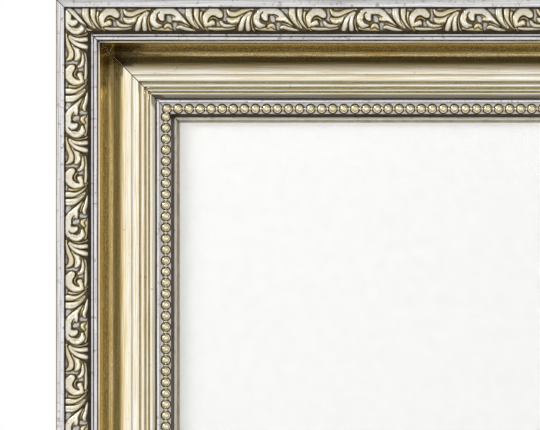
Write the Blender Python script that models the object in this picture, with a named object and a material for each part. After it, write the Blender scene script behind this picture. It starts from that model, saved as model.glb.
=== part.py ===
"""A wall picture frame: mitred gilt moulding with scroll and pearl strips, glazed, backed and ready to hang.

+X is to the right and +Z up as the picture is looked at, and +Y points at the wall. The origin is
on the wall, behind the middle of the frame.
"""

import math

import bmesh
import bpy
from mathutils import Matrix, Vector

MM = 0.001

# The picture, and what lies with it in the rebate
PICTURE_WIDTH = 300 * MM
PICTURE_HEIGHT = 400 * MM
GLASS_THICKNESS = 2.0 * MM
SHEET_THICKNESS = 0.5 * MM
BACKING_THICKNESS = 3.0 * MM
REBATE_WIDTH = 6.0 * MM
REBATE_PLAY = 1.5 * MM

# Gaps between pieces that rest on each other, and at the mitres
SEAT_GAP = 0.3 * MM
MITRE_GAP = 0.3 * MM

# Bands across the face of the moulding, from the outer edge in
FILLET_WIDTH = 4.4 * MM
SCROLL_WIDTH = 12.3 * MM
GROOVE_WIDTH = 1.0 * MM
ASTRAGAL_RADIUS = 1.75 * MM
COVE_WIDTH = 17.5 * MM
COVE_STRAIGHT = 5.5 * MM
COVE_ANGLE = math.radians(60)
SHELF_WIDTH = 3.8 * MM
REED_WIDTHS = (2.6 * MM, 1.5 * MM, 3.1 * MM)
SINKING_WIDTH = 1.0 * MM
INNER_FILLET_WIDTH = 1.4 * MM
PEARL_BAND_WIDTH = 5.3 * MM
LIP_SLOPE_WIDTH = 2.4 * MM
LIP_CHAMFER_WIDTH = 2.2 * MM
QUIRK_WIDTH = 0.5 * MM
QUIRK_DEPTH = 0.9 * MM

# Heights of those bands, each above the one before it on the way out from the sight edge
LIP_EDGE = 0.9 * MM
LIP_CHAMFER_RISE = 2.0 * MM
LIP_SLOPE_RISE = 2.0 * MM
INNER_FILLET_RISE = 1.4 * MM
REED_RISE = 1.0 * MM
SHELF_RISE = 0.5 * MM
FILLET_RISE = 1.6 * MM
SCROLL_BED_CROWN = 1.4 * MM
EDGE_ROUND = 0.8 * MM
SIDE_RELIEF = 3.0 * MM
SIDE_RELIEF_HEIGHT = 12.0 * MM

# Ornament laid on the moulding
SCROLL_EDGE_THICKNESS = 0.8 * MM
SCROLL_CREST_THICKNESS = 2.0 * MM
PEARL_PITCH = 5.9 * MM
PEARL_RADIUS = 2.1 * MM
PEARL_NECK_RADIUS = 1.0 * MM

# V-nails across the mitres
V_NAIL_INSETS = (20 * MM, 42 * MM)
V_NAIL_LEG = 6.0 * MM
V_NAIL_THICKNESS = 0.6 * MM
V_NAIL_HEIGHT = 7.0 * MM

# Turn buttons
BUTTON_LENGTH = 24 * MM
BUTTON_WIDTH = 10 * MM
BUTTON_THICKNESS = 1.2 * MM
BUTTON_EDGE_DISTANCE = 9.0 * MM
BUTTON_SPREAD = 100 * MM
BUTTON_SHANK_LENGTH = 9.0 * MM

# Hangers
HANGER_INSET = 27 * MM
HANGER_DROP = 125 * MM
STRAP_LENGTH = 34 * MM
STRAP_WIDTH = 10 * MM
STRAP_THICKNESS = 1.0 * MM
STRAP_END_ROUND = 4.0 * MM
STRAP_UPPER_HOLE = 7 * MM
STRAP_LOWER_HOLE_MARGIN = 8 * MM
STRAP_HOLES = (STRAP_UPPER_HOLE, STRAP_LENGTH - STRAP_LOWER_HOLE_MARGIN)
HANGER_SHANK_LENGTH = 12 * MM
RING_WIRE_RADIUS = 1.2 * MM
RING_LOOP_CLEARANCE = 0.3 * MM
RING_HALF_WIDTH = 8.0 * MM
RING_CORNER_RADIUS = 2.5 * MM
RING_SHOULDER = 4.0 * MM
RING_ARCH = 8.0 * MM

# Screws and bumpers
SCREW_HEAD_RADIUS = 3.0 * MM
SCREW_HEAD_HEIGHT = 1.8 * MM
SCREW_SHANK_RADIUS = 1.5 * MM
SCREW_HEAD_FLAT_SHARE = 0.65
SCREW_TIP = 2.5 * MM
BUMPER_RADIUS = 6.0 * MM
BUMPER_ROUND = 1.2 * MM
BUMPER_INSET = 30 * MM

# Facets
ARC_STEP = math.radians(18)
ROUND_SIDES = 12
BED_FACETS = 8
SMOOTH_ANGLE = math.radians(32)

# Where each band starts, measured in from the outer edge
BED_OUT = FILLET_WIDTH + QUIRK_WIDTH
BED_IN = BED_OUT + SCROLL_WIDTH
ASTRAGAL_OUT = BED_IN + GROOVE_WIDTH
COVE_OUT = ASTRAGAL_OUT + 2 * ASTRAGAL_RADIUS + QUIRK_WIDTH
COVE_IN = COVE_OUT + COVE_WIDTH
SHELF_IN = COVE_IN + SHELF_WIDTH
REEDS_IN = SHELF_IN + sum(REED_WIDTHS) + len(REED_WIDTHS) * QUIRK_WIDTH
INNER_FILLET_OUT = REEDS_IN + SINKING_WIDTH
PEARL_OUT = INNER_FILLET_OUT + INNER_FILLET_WIDTH + QUIRK_WIDTH
PEARL_IN = PEARL_OUT + PEARL_BAND_WIDTH
LIP_NOSE = PEARL_IN + LIP_SLOPE_WIDTH
SIGHT_EDGE = LIP_NOSE + LIP_CHAMFER_WIDTH
REBATE_WALL = SIGHT_EDGE - REBATE_WIDTH

# Heights above the back of the rails
REBATE_DEPTH = GLASS_THICKNESS + SHEET_THICKNESS + BACKING_THICKNESS + 3 * SEAT_GAP
NOSE_HEIGHT = REBATE_DEPTH + LIP_EDGE + LIP_CHAMFER_RISE
PEARL_BED_HEIGHT = NOSE_HEIGHT + LIP_SLOPE_RISE
INNER_FILLET_HEIGHT = PEARL_BED_HEIGHT + INNER_FILLET_RISE
COVE_RADIUS = (COVE_WIDTH - COVE_STRAIGHT) / math.sin(COVE_ANGLE)
COVE_FLOOR_HEIGHT = INNER_FILLET_HEIGHT
COVE_DROP = COVE_STRAIGHT * math.tan(COVE_ANGLE) + COVE_RADIUS * (1 - math.cos(COVE_ANGLE))
CREST_HEIGHT = COVE_FLOOR_HEIGHT + COVE_DROP
FILLET_HEIGHT = CREST_HEIGHT + FILLET_RISE

# The whole frame, and its place off the wall
HALF_WIDTH = PICTURE_WIDTH / 2 + REBATE_PLAY + REBATE_WALL
HALF_HEIGHT = PICTURE_HEIGHT / 2 + REBATE_PLAY + REBATE_WALL
LOOP_HOLE_RADIUS = RING_WIRE_RADIUS + RING_LOOP_CLEARANCE
LOOP_RADIUS = LOOP_HOLE_RADIUS + STRAP_THICKNESS
STAND_OFF = SEAT_GAP + 2 * LOOP_RADIUS
BACK_Y = -STAND_OFF

QUARTER_TURN = math.radians(90)
# One side of the frame each: its turn about the Y axis, half its length, and how far out it lies
SIDES = {
    "top": (0, HALF_WIDTH, HALF_HEIGHT),
    "right": (QUARTER_TURN, HALF_HEIGHT, HALF_WIDTH),
    "bottom": (2 * QUARTER_TURN, HALF_WIDTH, HALF_HEIGHT),
    "left": (-QUARTER_TURN, HALF_HEIGHT, HALF_WIDTH),
}
# The corner at the far end of each side, going clockwise
CORNERS = {"top": "top_right", "right": "bottom_right", "bottom": "bottom_left", "left": "top_left"}


def clear_scene():
    for item in list(bpy.data.objects):
        bpy.data.objects.remove(item, do_unlink=True)


def material(name, colour, roughness, metallic=0.0, alpha=1.0):
    made = bpy.data.materials.new(name)
    made.use_nodes = True
    shader = made.node_tree.nodes["Principled BSDF"]
    shader.inputs["Base Color"].default_value = (*colour, 1)
    shader.inputs["Roughness"].default_value = roughness
    shader.inputs["Metallic"].default_value = metallic
    shader.inputs["Alpha"].default_value = alpha
    return made


def finished(name, builder):
    """The bmesh as a closed mesh that faces outwards, smooth where it is round."""
    bmesh.ops.remove_doubles(builder, verts=builder.verts, dist=1e-7)
    bmesh.ops.recalc_face_normals(builder, faces=builder.faces)
    mesh = bpy.data.meshes.new(name)
    builder.to_mesh(mesh)
    builder.free()
    mesh.shade_smooth()
    mesh.set_sharp_from_angle(angle=SMOOTH_ANGLE)
    return mesh


def place(name, mesh, surface, parent=None, location=(0, 0, 0)):
    """A new object of this mesh, in its own material, at a place in its parent's frame."""
    made = bpy.data.objects.new(name, mesh)
    bpy.context.scene.collection.objects.link(made)
    if not mesh.materials:
        mesh.materials.append(surface)
    made.parent = parent
    made.location = location
    return made


def arc(centre, radius, start, end):
    """Points of a circular arc in a plane, its two ends included."""
    steps = max(2, math.ceil(abs(end - start) / ARC_STEP))
    turns = [start + (end - start) * step / steps for step in range(steps + 1)]
    return [(centre[0] + radius * math.cos(a), centre[1] + radius * math.sin(a)) for a in turns]


def circle(radius, centre=(0, 0)):
    return arc(centre, radius, 0, 2 * math.pi)[:-1]


def ridge(start, end, base, rise):
    """A rounded ridge across the moulding: half an ellipse that stands on its base."""
    middle = (start + end) / 2
    half = (end - start) / 2
    unit = arc((0, 0), 1, math.pi, 0)
    return [(middle + half * across, base + rise * up) for across, up in unit]


def add_prism(builder, outline, low, high):
    """A straight prism along Y: the outline lies in the XZ plane."""
    floor = builder.faces.new([builder.verts.new((x, low, z)) for x, z in outline])
    top = bmesh.ops.extrude_face_region(builder, geom=[floor])["geom"]
    for vert in top:
        if isinstance(vert, bmesh.types.BMVert):
            vert.co.y = high


def turned(name, profile):
    """A piece turned about Y: the profile gives (radius, y) from one end of the axis to the other."""
    builder = bmesh.new()
    verts = [builder.verts.new((radius, y, 0)) for radius, y in profile]
    edges = [builder.edges.new(pair) for pair in zip(verts, verts[1:])]
    bmesh.ops.spin(
        builder, geom=verts + edges, axis=(0, 1, 0), cent=(0, 0, 0), angle=2 * math.pi, steps=ROUND_SIDES
    )
    return finished(name, builder)


def carved(name, body, cutter):
    """The body mesh with the cutter mesh taken out of it."""
    whole = place(name, body, None)
    tool = place(name + "_cutter", cutter, None)
    cut = whole.modifiers.new("cut", "BOOLEAN")
    cut.operation = "DIFFERENCE"
    cut.solver = "EXACT"
    cut.object = tool
    graph = bpy.context.evaluated_depsgraph_get()
    mesh = bpy.data.meshes.new_from_object(whole.evaluated_get(graph))
    mesh.name = name
    mesh.materials.clear()
    for helper in (whole, tool):
        bpy.data.objects.remove(helper, do_unlink=True)
    mesh.shade_smooth()
    mesh.set_sharp_from_angle(angle=SMOOTH_ANGLE)
    return mesh


def bed_height(across):
    """Height of the scroll strip's bed, which is crowned a little."""
    from_middle = (across - (BED_OUT + BED_IN) / 2) / (SCROLL_WIDTH / 2)
    return CREST_HEIGHT + SCROLL_BED_CROWN * (1 - from_middle**2)


def bed_stations(inset=0.0):
    start = BED_OUT + inset
    end = BED_IN - inset
    return [start + (end - start) * step / BED_FACETS for step in range(BED_FACETS + 1)]


def cove_points():
    """The hollow: a straight fall that runs into an arc and ends level."""
    bend = (COVE_IN, COVE_FLOOR_HEIGHT + COVE_RADIUS)
    level = -math.pi / 2
    return [(COVE_OUT, CREST_HEIGHT)] + arc(bend, COVE_RADIUS, level - COVE_ANGLE, level)


def rail_section():
    """Outline of a rail as (in from the outer edge, up from the back), clockwise from the outer back edge."""
    quirk_floor = COVE_FLOOR_HEIGHT - QUIRK_DEPTH
    groove_floor = CREST_HEIGHT - QUIRK_DEPTH
    outline = [(SIDE_RELIEF, 0), (0, SIDE_RELIEF_HEIGHT)]
    outline += arc((EDGE_ROUND, FILLET_HEIGHT - EDGE_ROUND), EDGE_ROUND, math.pi, math.pi / 2)
    outline += [(FILLET_WIDTH, FILLET_HEIGHT), (FILLET_WIDTH, groove_floor), (BED_OUT, groove_floor)]
    outline += [(across, bed_height(across)) for across in bed_stations()]
    outline += [(BED_IN, groove_floor), (ASTRAGAL_OUT, groove_floor)]
    outline += ridge(ASTRAGAL_OUT, ASTRAGAL_OUT + 2 * ASTRAGAL_RADIUS, CREST_HEIGHT, ASTRAGAL_RADIUS)
    outline += [(COVE_OUT - QUIRK_WIDTH, groove_floor), (COVE_OUT, groove_floor)]
    outline += cove_points()
    outline += ridge(COVE_IN, SHELF_IN, COVE_FLOOR_HEIGHT, SHELF_RISE)[1:]
    start = SHELF_IN
    for width in REED_WIDTHS:
        outline += [(start, quirk_floor), (start + QUIRK_WIDTH, quirk_floor)]
        start += QUIRK_WIDTH
        outline += ridge(start, start + width, COVE_FLOOR_HEIGHT, REED_RISE)
        start += width
    outline += [(REEDS_IN, PEARL_BED_HEIGHT), (INNER_FILLET_OUT, PEARL_BED_HEIGHT)]
    fillet_in = INNER_FILLET_OUT + INNER_FILLET_WIDTH
    outline += [(INNER_FILLET_OUT, INNER_FILLET_HEIGHT), (fillet_in, INNER_FILLET_HEIGHT)]
    outline += [(fillet_in, PEARL_BED_HEIGHT), (PEARL_IN, PEARL_BED_HEIGHT), (LIP_NOSE, NOSE_HEIGHT)]
    outline += [(SIGHT_EDGE, REBATE_DEPTH + LIP_EDGE), (SIGHT_EDGE, REBATE_DEPTH)]
    outline += [(REBATE_WALL, REBATE_DEPTH), (REBATE_WALL, 0)]
    return outline


def scroll_section():
    """Outline of a scroll strip: it follows its bed and is thickest along the middle."""
    stations = bed_stations(SEAT_GAP)
    under = [(across, bed_height(across) + SEAT_GAP) for across in stations]
    half = SCROLL_WIDTH / 2
    swell = SCROLL_CREST_THICKNESS - SCROLL_EDGE_THICKNESS
    over = []
    for across, height in under:
        from_middle = (across - BED_OUT - half) / half
        over.append((across, height + SCROLL_EDGE_THICKNESS + swell * (1 - from_middle**4)))
    return over + under[::-1]


def mitre_end(half_length, across):
    """Half the length of a mitred side, measured this far in from its outer edge."""
    return half_length - across - MITRE_GAP / math.sqrt(2)


def mitred_bar(name, outline, half_length):
    """A length of moulding along X, cut at 45 degrees at both ends, its outer edge on z = 0."""
    builder = bmesh.new()
    points = [(-mitre_end(half_length, across), BACK_Y - height, -across) for across, height in outline]
    end = builder.faces.new([builder.verts.new(point) for point in points])
    far = bmesh.ops.extrude_face_region(builder, geom=[end])["geom"]
    for vert in far:
        if isinstance(vert, bmesh.types.BMVert):
            vert.co.x = -vert.co.x
    return finished(name, builder)


def pearl_strip(name, half_length):
    """A string of pearls along X, with a half pearl on the mitre at both ends."""
    middle = (PEARL_OUT + PEARL_IN) / 2
    run = half_length - middle
    pearls = round(2 * run / PEARL_PITCH)
    base = BACK_Y - PEARL_BED_HEIGHT - SEAT_GAP
    stations = 2 * pearls
    builder = bmesh.new()
    rings = []
    for station in range(stations + 1):
        radius = PEARL_NECK_RADIUS if station % 2 else PEARL_RADIUS
        along = run * (2 * station / stations - 1)
        ring = []
        for corner in range(4):
            turn = math.pi * corner / 3
            across = middle - radius * math.cos(turn)
            x = along
            if station in (0, stations):
                x = math.copysign(mitre_end(half_length, across), along)
            ring.append(builder.verts.new((x, base - radius * math.sin(turn), -across)))
        rings.append(ring)
    for near, far in zip(rings, rings[1:]):
        for corner in range(4):
            other = (corner + 1) % 4
            builder.faces.new((near[corner], near[other], far[other], far[corner]))
    builder.faces.new(rings[0])
    builder.faces.new(rings[-1])
    return finished(name, builder)


def v_nail_outline(half_length, end, inset, clearance):
    """Plan of a V-nail at one end of a side: one leg in this rail, one in the next."""
    leg = V_NAIL_LEG + clearance
    wall = V_NAIL_THICKNESS + clearance
    steps = [(-clearance, -clearance), (leg, -clearance), (leg, wall)]
    steps += [(wall, wall), (wall, leg), (-clearance, leg)]
    return [(end * (half_length - inset - along), -inset - across) for along, across in steps]


def v_nail(name, half_length, inset):
    builder = bmesh.new()
    add_prism(builder, v_nail_outline(half_length, 1, inset, 0), BACK_Y - V_NAIL_HEIGHT, BACK_Y)
    return finished(name, builder)


def rail_cutter(name, half_length, screws):
    """Slots for the V-nails at both ends of a rail, and a hole for each screw."""
    builder = bmesh.new()
    past_back = BACK_Y + STAND_OFF / 2
    for end in (-1, 1):
        for inset in V_NAIL_INSETS:
            outline = v_nail_outline(half_length, end, inset, SEAT_GAP)
            add_prism(builder, outline, BACK_Y - V_NAIL_HEIGHT - SEAT_GAP, past_back)
    for along, across, length in screws:
        hole = circle(SCREW_SHANK_RADIUS + SEAT_GAP, (along, -across))
        add_prism(builder, hole, BACK_Y - length - SEAT_GAP, past_back)
    return finished(name, builder)


def screw(name, shank_length, seat):
    """A pan-head screw whose head sits on a plate of this thickness; its origin is on the rail's back."""
    under_head = seat + SEAT_GAP
    top = under_head + SCREW_HEAD_HEIGHT
    profile = [
        (0, top),
        (SCREW_HEAD_RADIUS * SCREW_HEAD_FLAT_SHARE, top),
        (SCREW_HEAD_RADIUS, under_head + SCREW_HEAD_HEIGHT / 2),
        (SCREW_HEAD_RADIUS, under_head),
        (SCREW_SHANK_RADIUS, under_head),
        (SCREW_SHANK_RADIUS, SCREW_TIP - shank_length),
        (0, -shank_length),
    ]
    return turned(name, profile)


def turn_button():
    """A flat steel button with round ends, bored for its screw, pointing to -Z."""
    end = BUTTON_WIDTH / 2
    tip = -(BUTTON_LENGTH - BUTTON_WIDTH)
    outline = arc((0, 0), end, 0, math.pi) + arc((0, tip), end, math.pi, 2 * math.pi)
    plate = bmesh.new()
    add_prism(plate, outline, SEAT_GAP, SEAT_GAP + BUTTON_THICKNESS)
    bore = bmesh.new()
    add_prism(bore, circle(SCREW_SHANK_RADIUS + SEAT_GAP), 0, 2 * SEAT_GAP + BUTTON_THICKNESS)
    return carved("turn_button", finished("plate", plate), finished("bore", bore))


def hanger_strap():
    """A strip folded round the ring's bar, with two screw holes.

    Its origin is on the rail's back, level with the bar.
    """
    centre = SEAT_GAP + LOOP_RADIUS
    face = SEAT_GAP + STRAP_THICKNESS
    tuck = math.pi + math.asin((centre - face) / LOOP_RADIUS)
    outline = [(-STRAP_LENGTH, SEAT_GAP)] + arc((0, centre), LOOP_RADIUS, -math.pi / 2, tuck)
    outline += [(-STRAP_LENGTH, face)]
    builder = bmesh.new()
    half = STRAP_WIDTH / 2
    side = builder.faces.new([builder.verts.new((-half, y, z)) for z, y in outline])
    far = bmesh.ops.extrude_face_region(builder, geom=[side])["geom"]
    for vert in far:
        if isinstance(vert, bmesh.types.BMVert):
            vert.co.x = half
    corners = [
        edge
        for edge in builder.edges
        if all(abs(vert.co.z + STRAP_LENGTH) < SEAT_GAP for vert in edge.verts)
        and abs(edge.verts[0].co.x - edge.verts[1].co.x) < SEAT_GAP
    ]
    bmesh.ops.bevel(builder, geom=corners, offset=STRAP_END_ROUND, segments=4, profile=0.5, affect="EDGES")
    cutter = bmesh.new()
    for drop in STRAP_HOLES:
        add_prism(cutter, circle(SCREW_SHANK_RADIUS + SEAT_GAP, (0, -drop)), 0, face + SEAT_GAP)
    loop = cutter.faces.new(
        [cutter.verts.new((-STRAP_WIDTH, y, z)) for z, y in circle(LOOP_HOLE_RADIUS, (0, centre))]
    )
    far = bmesh.ops.extrude_face_region(cutter, geom=[loop])["geom"]
    for vert in far:
        if isinstance(vert, bmesh.types.BMVert):
            vert.co.x = STRAP_WIDTH
    return carved("hanger_strap", finished("strip", builder), finished("holes", cutter))


def hanger_ring(name):
    """A D of round wire standing in the XZ plane, with its straight bar on the X axis."""
    straight = RING_HALF_WIDTH - RING_CORNER_RADIUS
    right = arc((straight, RING_CORNER_RADIUS), RING_CORNER_RADIUS, -math.pi / 2, 0)
    half_turn = arc((0, 0), 1, 0, math.pi)
    arch = [(RING_HALF_WIDTH * across, RING_SHOULDER + RING_ARCH * up) for across, up in half_turn]
    left = [(-x, z) for x, z in reversed(right)]
    path = right + arch + left
    wire = bpy.data.curves.new(name, "CURVE")
    wire.dimensions = "3D"
    wire.bevel_depth = RING_WIRE_RADIUS
    wire.bevel_resolution = 2
    spline = wire.splines.new("POLY")
    spline.points.add(len(path) - 1)
    for point, (x, z) in zip(spline.points, path):
        point.co = (x, 0, z, 1)
    spline.use_cyclic_u = True
    return wire


def slab(name, thickness, underside):
    """A rectangle of the picture's size; the underside is its height above the rail's back."""
    builder = bmesh.new()
    half_width = PICTURE_WIDTH / 2
    half_height = PICTURE_HEIGHT / 2
    corners = [(-half_width, -half_height), (half_width, -half_height), (half_width, half_height)]
    add_prism(
        builder, corners + [(-half_width, half_height)], BACK_Y - underside - thickness, BACK_Y - underside
    )
    return finished(name, builder)


def bumper():
    height = STAND_OFF - SEAT_GAP
    rim = arc((BUMPER_RADIUS - BUMPER_ROUND, height - BUMPER_ROUND), BUMPER_ROUND, math.pi / 2, 0)
    profile = [(0, height)] + rim + [(BUMPER_RADIUS, 0), (0, 0)]
    return turned("wall_bumper", [(radius, y + SEAT_GAP) for radius, y in profile])


def button_places(side):
    """Where turn buttons sit along a side: one in the middle of a short side, two on a long one."""
    return [0] if side in ("top", "bottom") else [-BUTTON_SPREAD, BUTTON_SPREAD]


def hanger_heights():
    """The ring's bar, and the screws below it, as heights in the frame."""
    bar = HALF_HEIGHT - HANGER_DROP
    return bar, [bar - drop for drop in STRAP_HOLES]


def rail_screws(side):
    """Every screw in a rail as (along, in from the outer edge, length)."""
    inset = REBATE_WALL - BUTTON_EDGE_DISTANCE
    screws = [(along, inset, BUTTON_SHANK_LENGTH) for along in button_places(side)]
    if side in ("left", "right"):
        upward = 1 if side == "left" else -1
        screws += [(upward * z, HANGER_INSET, HANGER_SHANK_LENGTH) for z in hanger_heights()[1]]
    return screws


def build():
    clear_scene()
    gilt = material("gilt_wood", (0.56, 0.42, 0.16), 0.3, 1.0)
    compo = material("gilt_composition", (0.68, 0.58, 0.33), 0.35, 1.0)
    pearl = material("gilt_pearl", (0.72, 0.58, 0.28), 0.3, 1.0)
    glass = material("clear_glass", (0.95, 0.97, 0.96), 0.02, 0.0, 0.15)
    card = material("white_card", (0.9, 0.9, 0.89), 0.8)
    hardboard = material("hardboard", (0.23, 0.13, 0.07), 0.7)
    steel = material("zinc_plated_steel", (0.55, 0.56, 0.58), 0.35, 1.0)
    nail_steel = material("bright_steel", (0.5, 0.5, 0.5), 0.4, 1.0)
    rubber = material("grey_rubber", (0.12, 0.12, 0.12), 0.8)

    button_mesh = turn_button()
    button_screw_mesh = screw("button_screw", BUTTON_SHANK_LENGTH, SEAT_GAP + BUTTON_THICKNESS)
    for side, (turn, half_length, reach) in SIDES.items():
        stand = bpy.data.objects.new(side + "_side", None)
        bpy.context.scene.collection.objects.link(stand)
        stand.rotation_euler = (0, turn, 0)
        stand.location = Matrix.Rotation(turn, 3, "Y") @ Vector((0, 0, reach))

        bar = mitred_bar(side + "_bar", rail_section(), half_length)
        cutter = rail_cutter(side + "_cuts", half_length, rail_screws(side))
        place(side + "_rail", carved(side + "_rail", bar, cutter), gilt, stand)
        strip = mitred_bar(side + "_scroll_strip", scroll_section(), half_length)
        place(side + "_scroll_strip", strip, compo, stand)
        place(side + "_pearl_strip", pearl_strip(side + "_pearl_strip", half_length), pearl, stand)

        for inset, where in zip(V_NAIL_INSETS, ("outer", "inner")):
            name = f"{CORNERS[side]}_{where}_v_nail"
            place(name, v_nail(name, half_length, inset), nail_steel, stand)

        pivot_z = BUTTON_EDGE_DISTANCE - REBATE_WALL
        for number, along in enumerate(button_places(side), 1):
            pivot = (along, BACK_Y, pivot_z)
            place(f"{side}_turn_button_{number}", button_mesh, steel, stand, pivot)
            place(f"{side}_turn_button_screw_{number}", button_screw_mesh, steel, stand, pivot)

    backing_under = 0
    sheet_under = backing_under + BACKING_THICKNESS + SEAT_GAP
    glass_under = sheet_under + SHEET_THICKNESS + SEAT_GAP
    place("backing_board", slab("backing_board", BACKING_THICKNESS, backing_under), hardboard)
    place("picture_sheet", slab("picture_sheet", SHEET_THICKNESS, sheet_under), card)
    place("glass_pane", slab("glass_pane", GLASS_THICKNESS, glass_under), glass)

    strap_mesh = hanger_strap()
    strap_screw_mesh = screw("strap_screw", HANGER_SHANK_LENGTH, SEAT_GAP + STRAP_THICKNESS)
    bumper_mesh = bumper()
    bar_z, screw_heights = hanger_heights()
    for side, hand in (("left", -1), ("right", 1)):
        x = hand * (HALF_WIDTH - HANGER_INSET)
        place(side + "_hanger_strap", strap_mesh, steel, None, (x, BACK_Y, bar_z))
        ring_y = BACK_Y + SEAT_GAP + LOOP_RADIUS
        ring = hanger_ring(side + "_hanger_ring")
        place(side + "_hanger_ring", ring, steel, None, (x, ring_y, bar_z))
        for z, where in zip(screw_heights, ("upper", "lower")):
            place(f"{side}_hanger_{where}_screw", strap_screw_mesh, steel, None, (x, BACK_Y, z))
        corner = (hand * (HALF_WIDTH - BUMPER_INSET), BACK_Y, BUMPER_INSET - HALF_HEIGHT)
        place(side + "_wall_bumper", bumper_mesh, rubber, None, corner)


build()
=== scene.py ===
# %% [markdown]
# A gilded wall picture frame, dressed for its portrait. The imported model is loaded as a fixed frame:
# each rail, strip, screw and ring is already in its place, in metres. This lesson gives those pieces
# their finish and the fine shapes that a plain solid leaves out.
# %% Load the frame
import math

import bmesh
import bpy
import numpy as np
from mathutils import Matrix, Vector


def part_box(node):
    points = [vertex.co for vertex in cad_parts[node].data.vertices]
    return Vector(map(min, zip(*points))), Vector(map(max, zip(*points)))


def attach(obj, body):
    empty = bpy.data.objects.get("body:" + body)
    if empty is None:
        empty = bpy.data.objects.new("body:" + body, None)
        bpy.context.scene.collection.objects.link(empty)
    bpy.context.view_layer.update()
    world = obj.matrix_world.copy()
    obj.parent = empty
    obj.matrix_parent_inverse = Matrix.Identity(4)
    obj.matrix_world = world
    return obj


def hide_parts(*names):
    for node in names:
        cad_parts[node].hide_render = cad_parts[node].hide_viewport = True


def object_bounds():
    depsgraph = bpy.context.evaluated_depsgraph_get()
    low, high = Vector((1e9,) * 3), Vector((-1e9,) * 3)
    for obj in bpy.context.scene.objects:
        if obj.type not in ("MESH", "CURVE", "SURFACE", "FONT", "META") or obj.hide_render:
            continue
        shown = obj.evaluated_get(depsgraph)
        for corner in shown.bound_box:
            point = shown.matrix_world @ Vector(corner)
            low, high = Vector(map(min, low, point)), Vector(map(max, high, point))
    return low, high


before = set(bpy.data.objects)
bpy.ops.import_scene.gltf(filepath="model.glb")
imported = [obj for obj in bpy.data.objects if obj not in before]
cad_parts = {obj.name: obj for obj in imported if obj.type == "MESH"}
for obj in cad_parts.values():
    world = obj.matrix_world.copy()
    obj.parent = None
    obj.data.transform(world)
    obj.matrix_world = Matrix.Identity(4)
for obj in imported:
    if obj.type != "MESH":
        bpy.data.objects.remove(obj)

MM = 0.001
QUARTER = math.pi / 2
CAD_BOX = [list(corner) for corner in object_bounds()]
HALF_WIDTH = -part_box("left_rail")[0][0]
HALF_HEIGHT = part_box("top_rail")[1][2]
BACK_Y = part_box("top_rail")[1][1]
print("outside size in mm:", round(2000 * HALF_WIDTH), "x", round(2000 * HALF_HEIGHT))

# %% [markdown]
# Small helpers come first. Colours are written as sRGB hex values, the way a paint chart gives them,
# and Blender's shaders want linear light, so one function turns the first into the second. Another
# adds a shader node with its settings and links, which keeps each material short enough to read.
# %% Helpers for colours, nodes and meshes


def linear(hex_colour):
    """An sRGB hex colour as linear red, green, blue and alpha."""
    parts = [int(hex_colour[i : i + 2], 16) / 255 for i in (1, 3, 5)]
    return [p / 12.92 if p <= 0.04045 else ((p + 0.055) / 1.055) ** 2.4 for p in parts] + [1.0]


def fill(tree, node, inputs):
    """Gives each input of a node its value, or links it to a socket."""
    for name, value in inputs.items():
        if isinstance(value, bpy.types.NodeSocket):
            tree.links.new(value, node.inputs[name])
        else:
            node.inputs[name].default_value = value


def add(tree, kind, inputs=(), out=0, stops=(), **settings):
    """Adds a node with its settings, inputs and colour stops, and gives back one of its outputs."""
    node = tree.nodes.new(kind)
    for name, value in settings.items():
        setattr(node, name, value)
    fill(tree, node, dict(inputs))
    for number, (place, colour) in enumerate(stops):
        points = node.color_ramp.elements
        point = points[number] if number < len(points) else points.new(place)
        point.position = place
        point.color = linear(colour)
    return node.outputs[out] if len(node.outputs) else None


def surface(name):
    """A new material with its tree, its shader and its texture coordinates."""
    made = bpy.data.materials.new(name)
    made.use_nodes = True
    tree = made.node_tree
    return made, tree, tree.nodes["Principled BSDF"], tree.nodes.new("ShaderNodeTexCoord")


def linked(name, data):
    """A new object in the scene."""
    made = bpy.data.objects.new(name, data)
    bpy.context.scene.collection.objects.link(made)
    return made


def piece(name, mesh, *materials):
    """A finished piece at the origin, with its place in its mesh."""
    for one in materials:
        mesh.materials.append(one)
    return linked(name, mesh)


def mesh_from(name, points, faces):
    mesh = bpy.data.meshes.new(name)
    mesh.from_pydata([tuple(p) for p in points], [], [tuple(f) for f in faces])
    mesh.update()
    return mesh


# %% [markdown]
# The camera stands square in front of the top left corner, as the photograph was taken. A long lens
# keeps the rails straight and nearly without perspective. Its place comes from two measures: the
# pixel where the outer corner of the frame lies, and the size of one pixel in millimetres.
# %% Camera
PHOTO_WIDTH, PHOTO_HEIGHT = 540, 430
CORNER_X, CORNER_Y = 56, -1
MM_PER_PIXEL = 0.5285
LENS, SENSOR = 400, 36
FAR_CLIP = 50
FACE_HEIGHT = 29 * MM

lens = bpy.data.cameras.new("camera")
lens.lens = LENS
lens.sensor_width = SENSOR
lens.clip_end = FAR_CLIP
eye = linked("camera", lens)
distance = PHOTO_WIDTH * MM_PER_PIXEL * MM * LENS / SENSOR
eye.location = (
    -HALF_WIDTH + (PHOTO_WIDTH / 2 - CORNER_X) * MM_PER_PIXEL * MM,
    BACK_Y - FACE_HEIGHT - distance,
    HALF_HEIGHT - (PHOTO_HEIGHT / 2 - CORNER_Y) * MM_PER_PIXEL * MM,
)
eye.rotation_euler = (QUARTER, 0, 0)
bpy.context.scene.camera = eye
print("camera", [round(c, 3) for c in eye.location])

# %% [markdown]
# Gilding is nearly a mirror, so the room matters more than the lamps: the dark bands in the hollow
# are the dim sides of the room, and the pale ones are the soft light about the camera. The world is
# built from the direction that a ray takes: bright ahead of the frame, less so above, below and to
# the left of that, and dim at the sides. The camera sees it as plain white, and so does metal that
# looks behind the frame. A photograph of a room could light it too, but a few steps of brightness
# are easier to place.
# %% The world
BEHIND_FROM, BEHIND_TO = 0.05, 0.3
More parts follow.
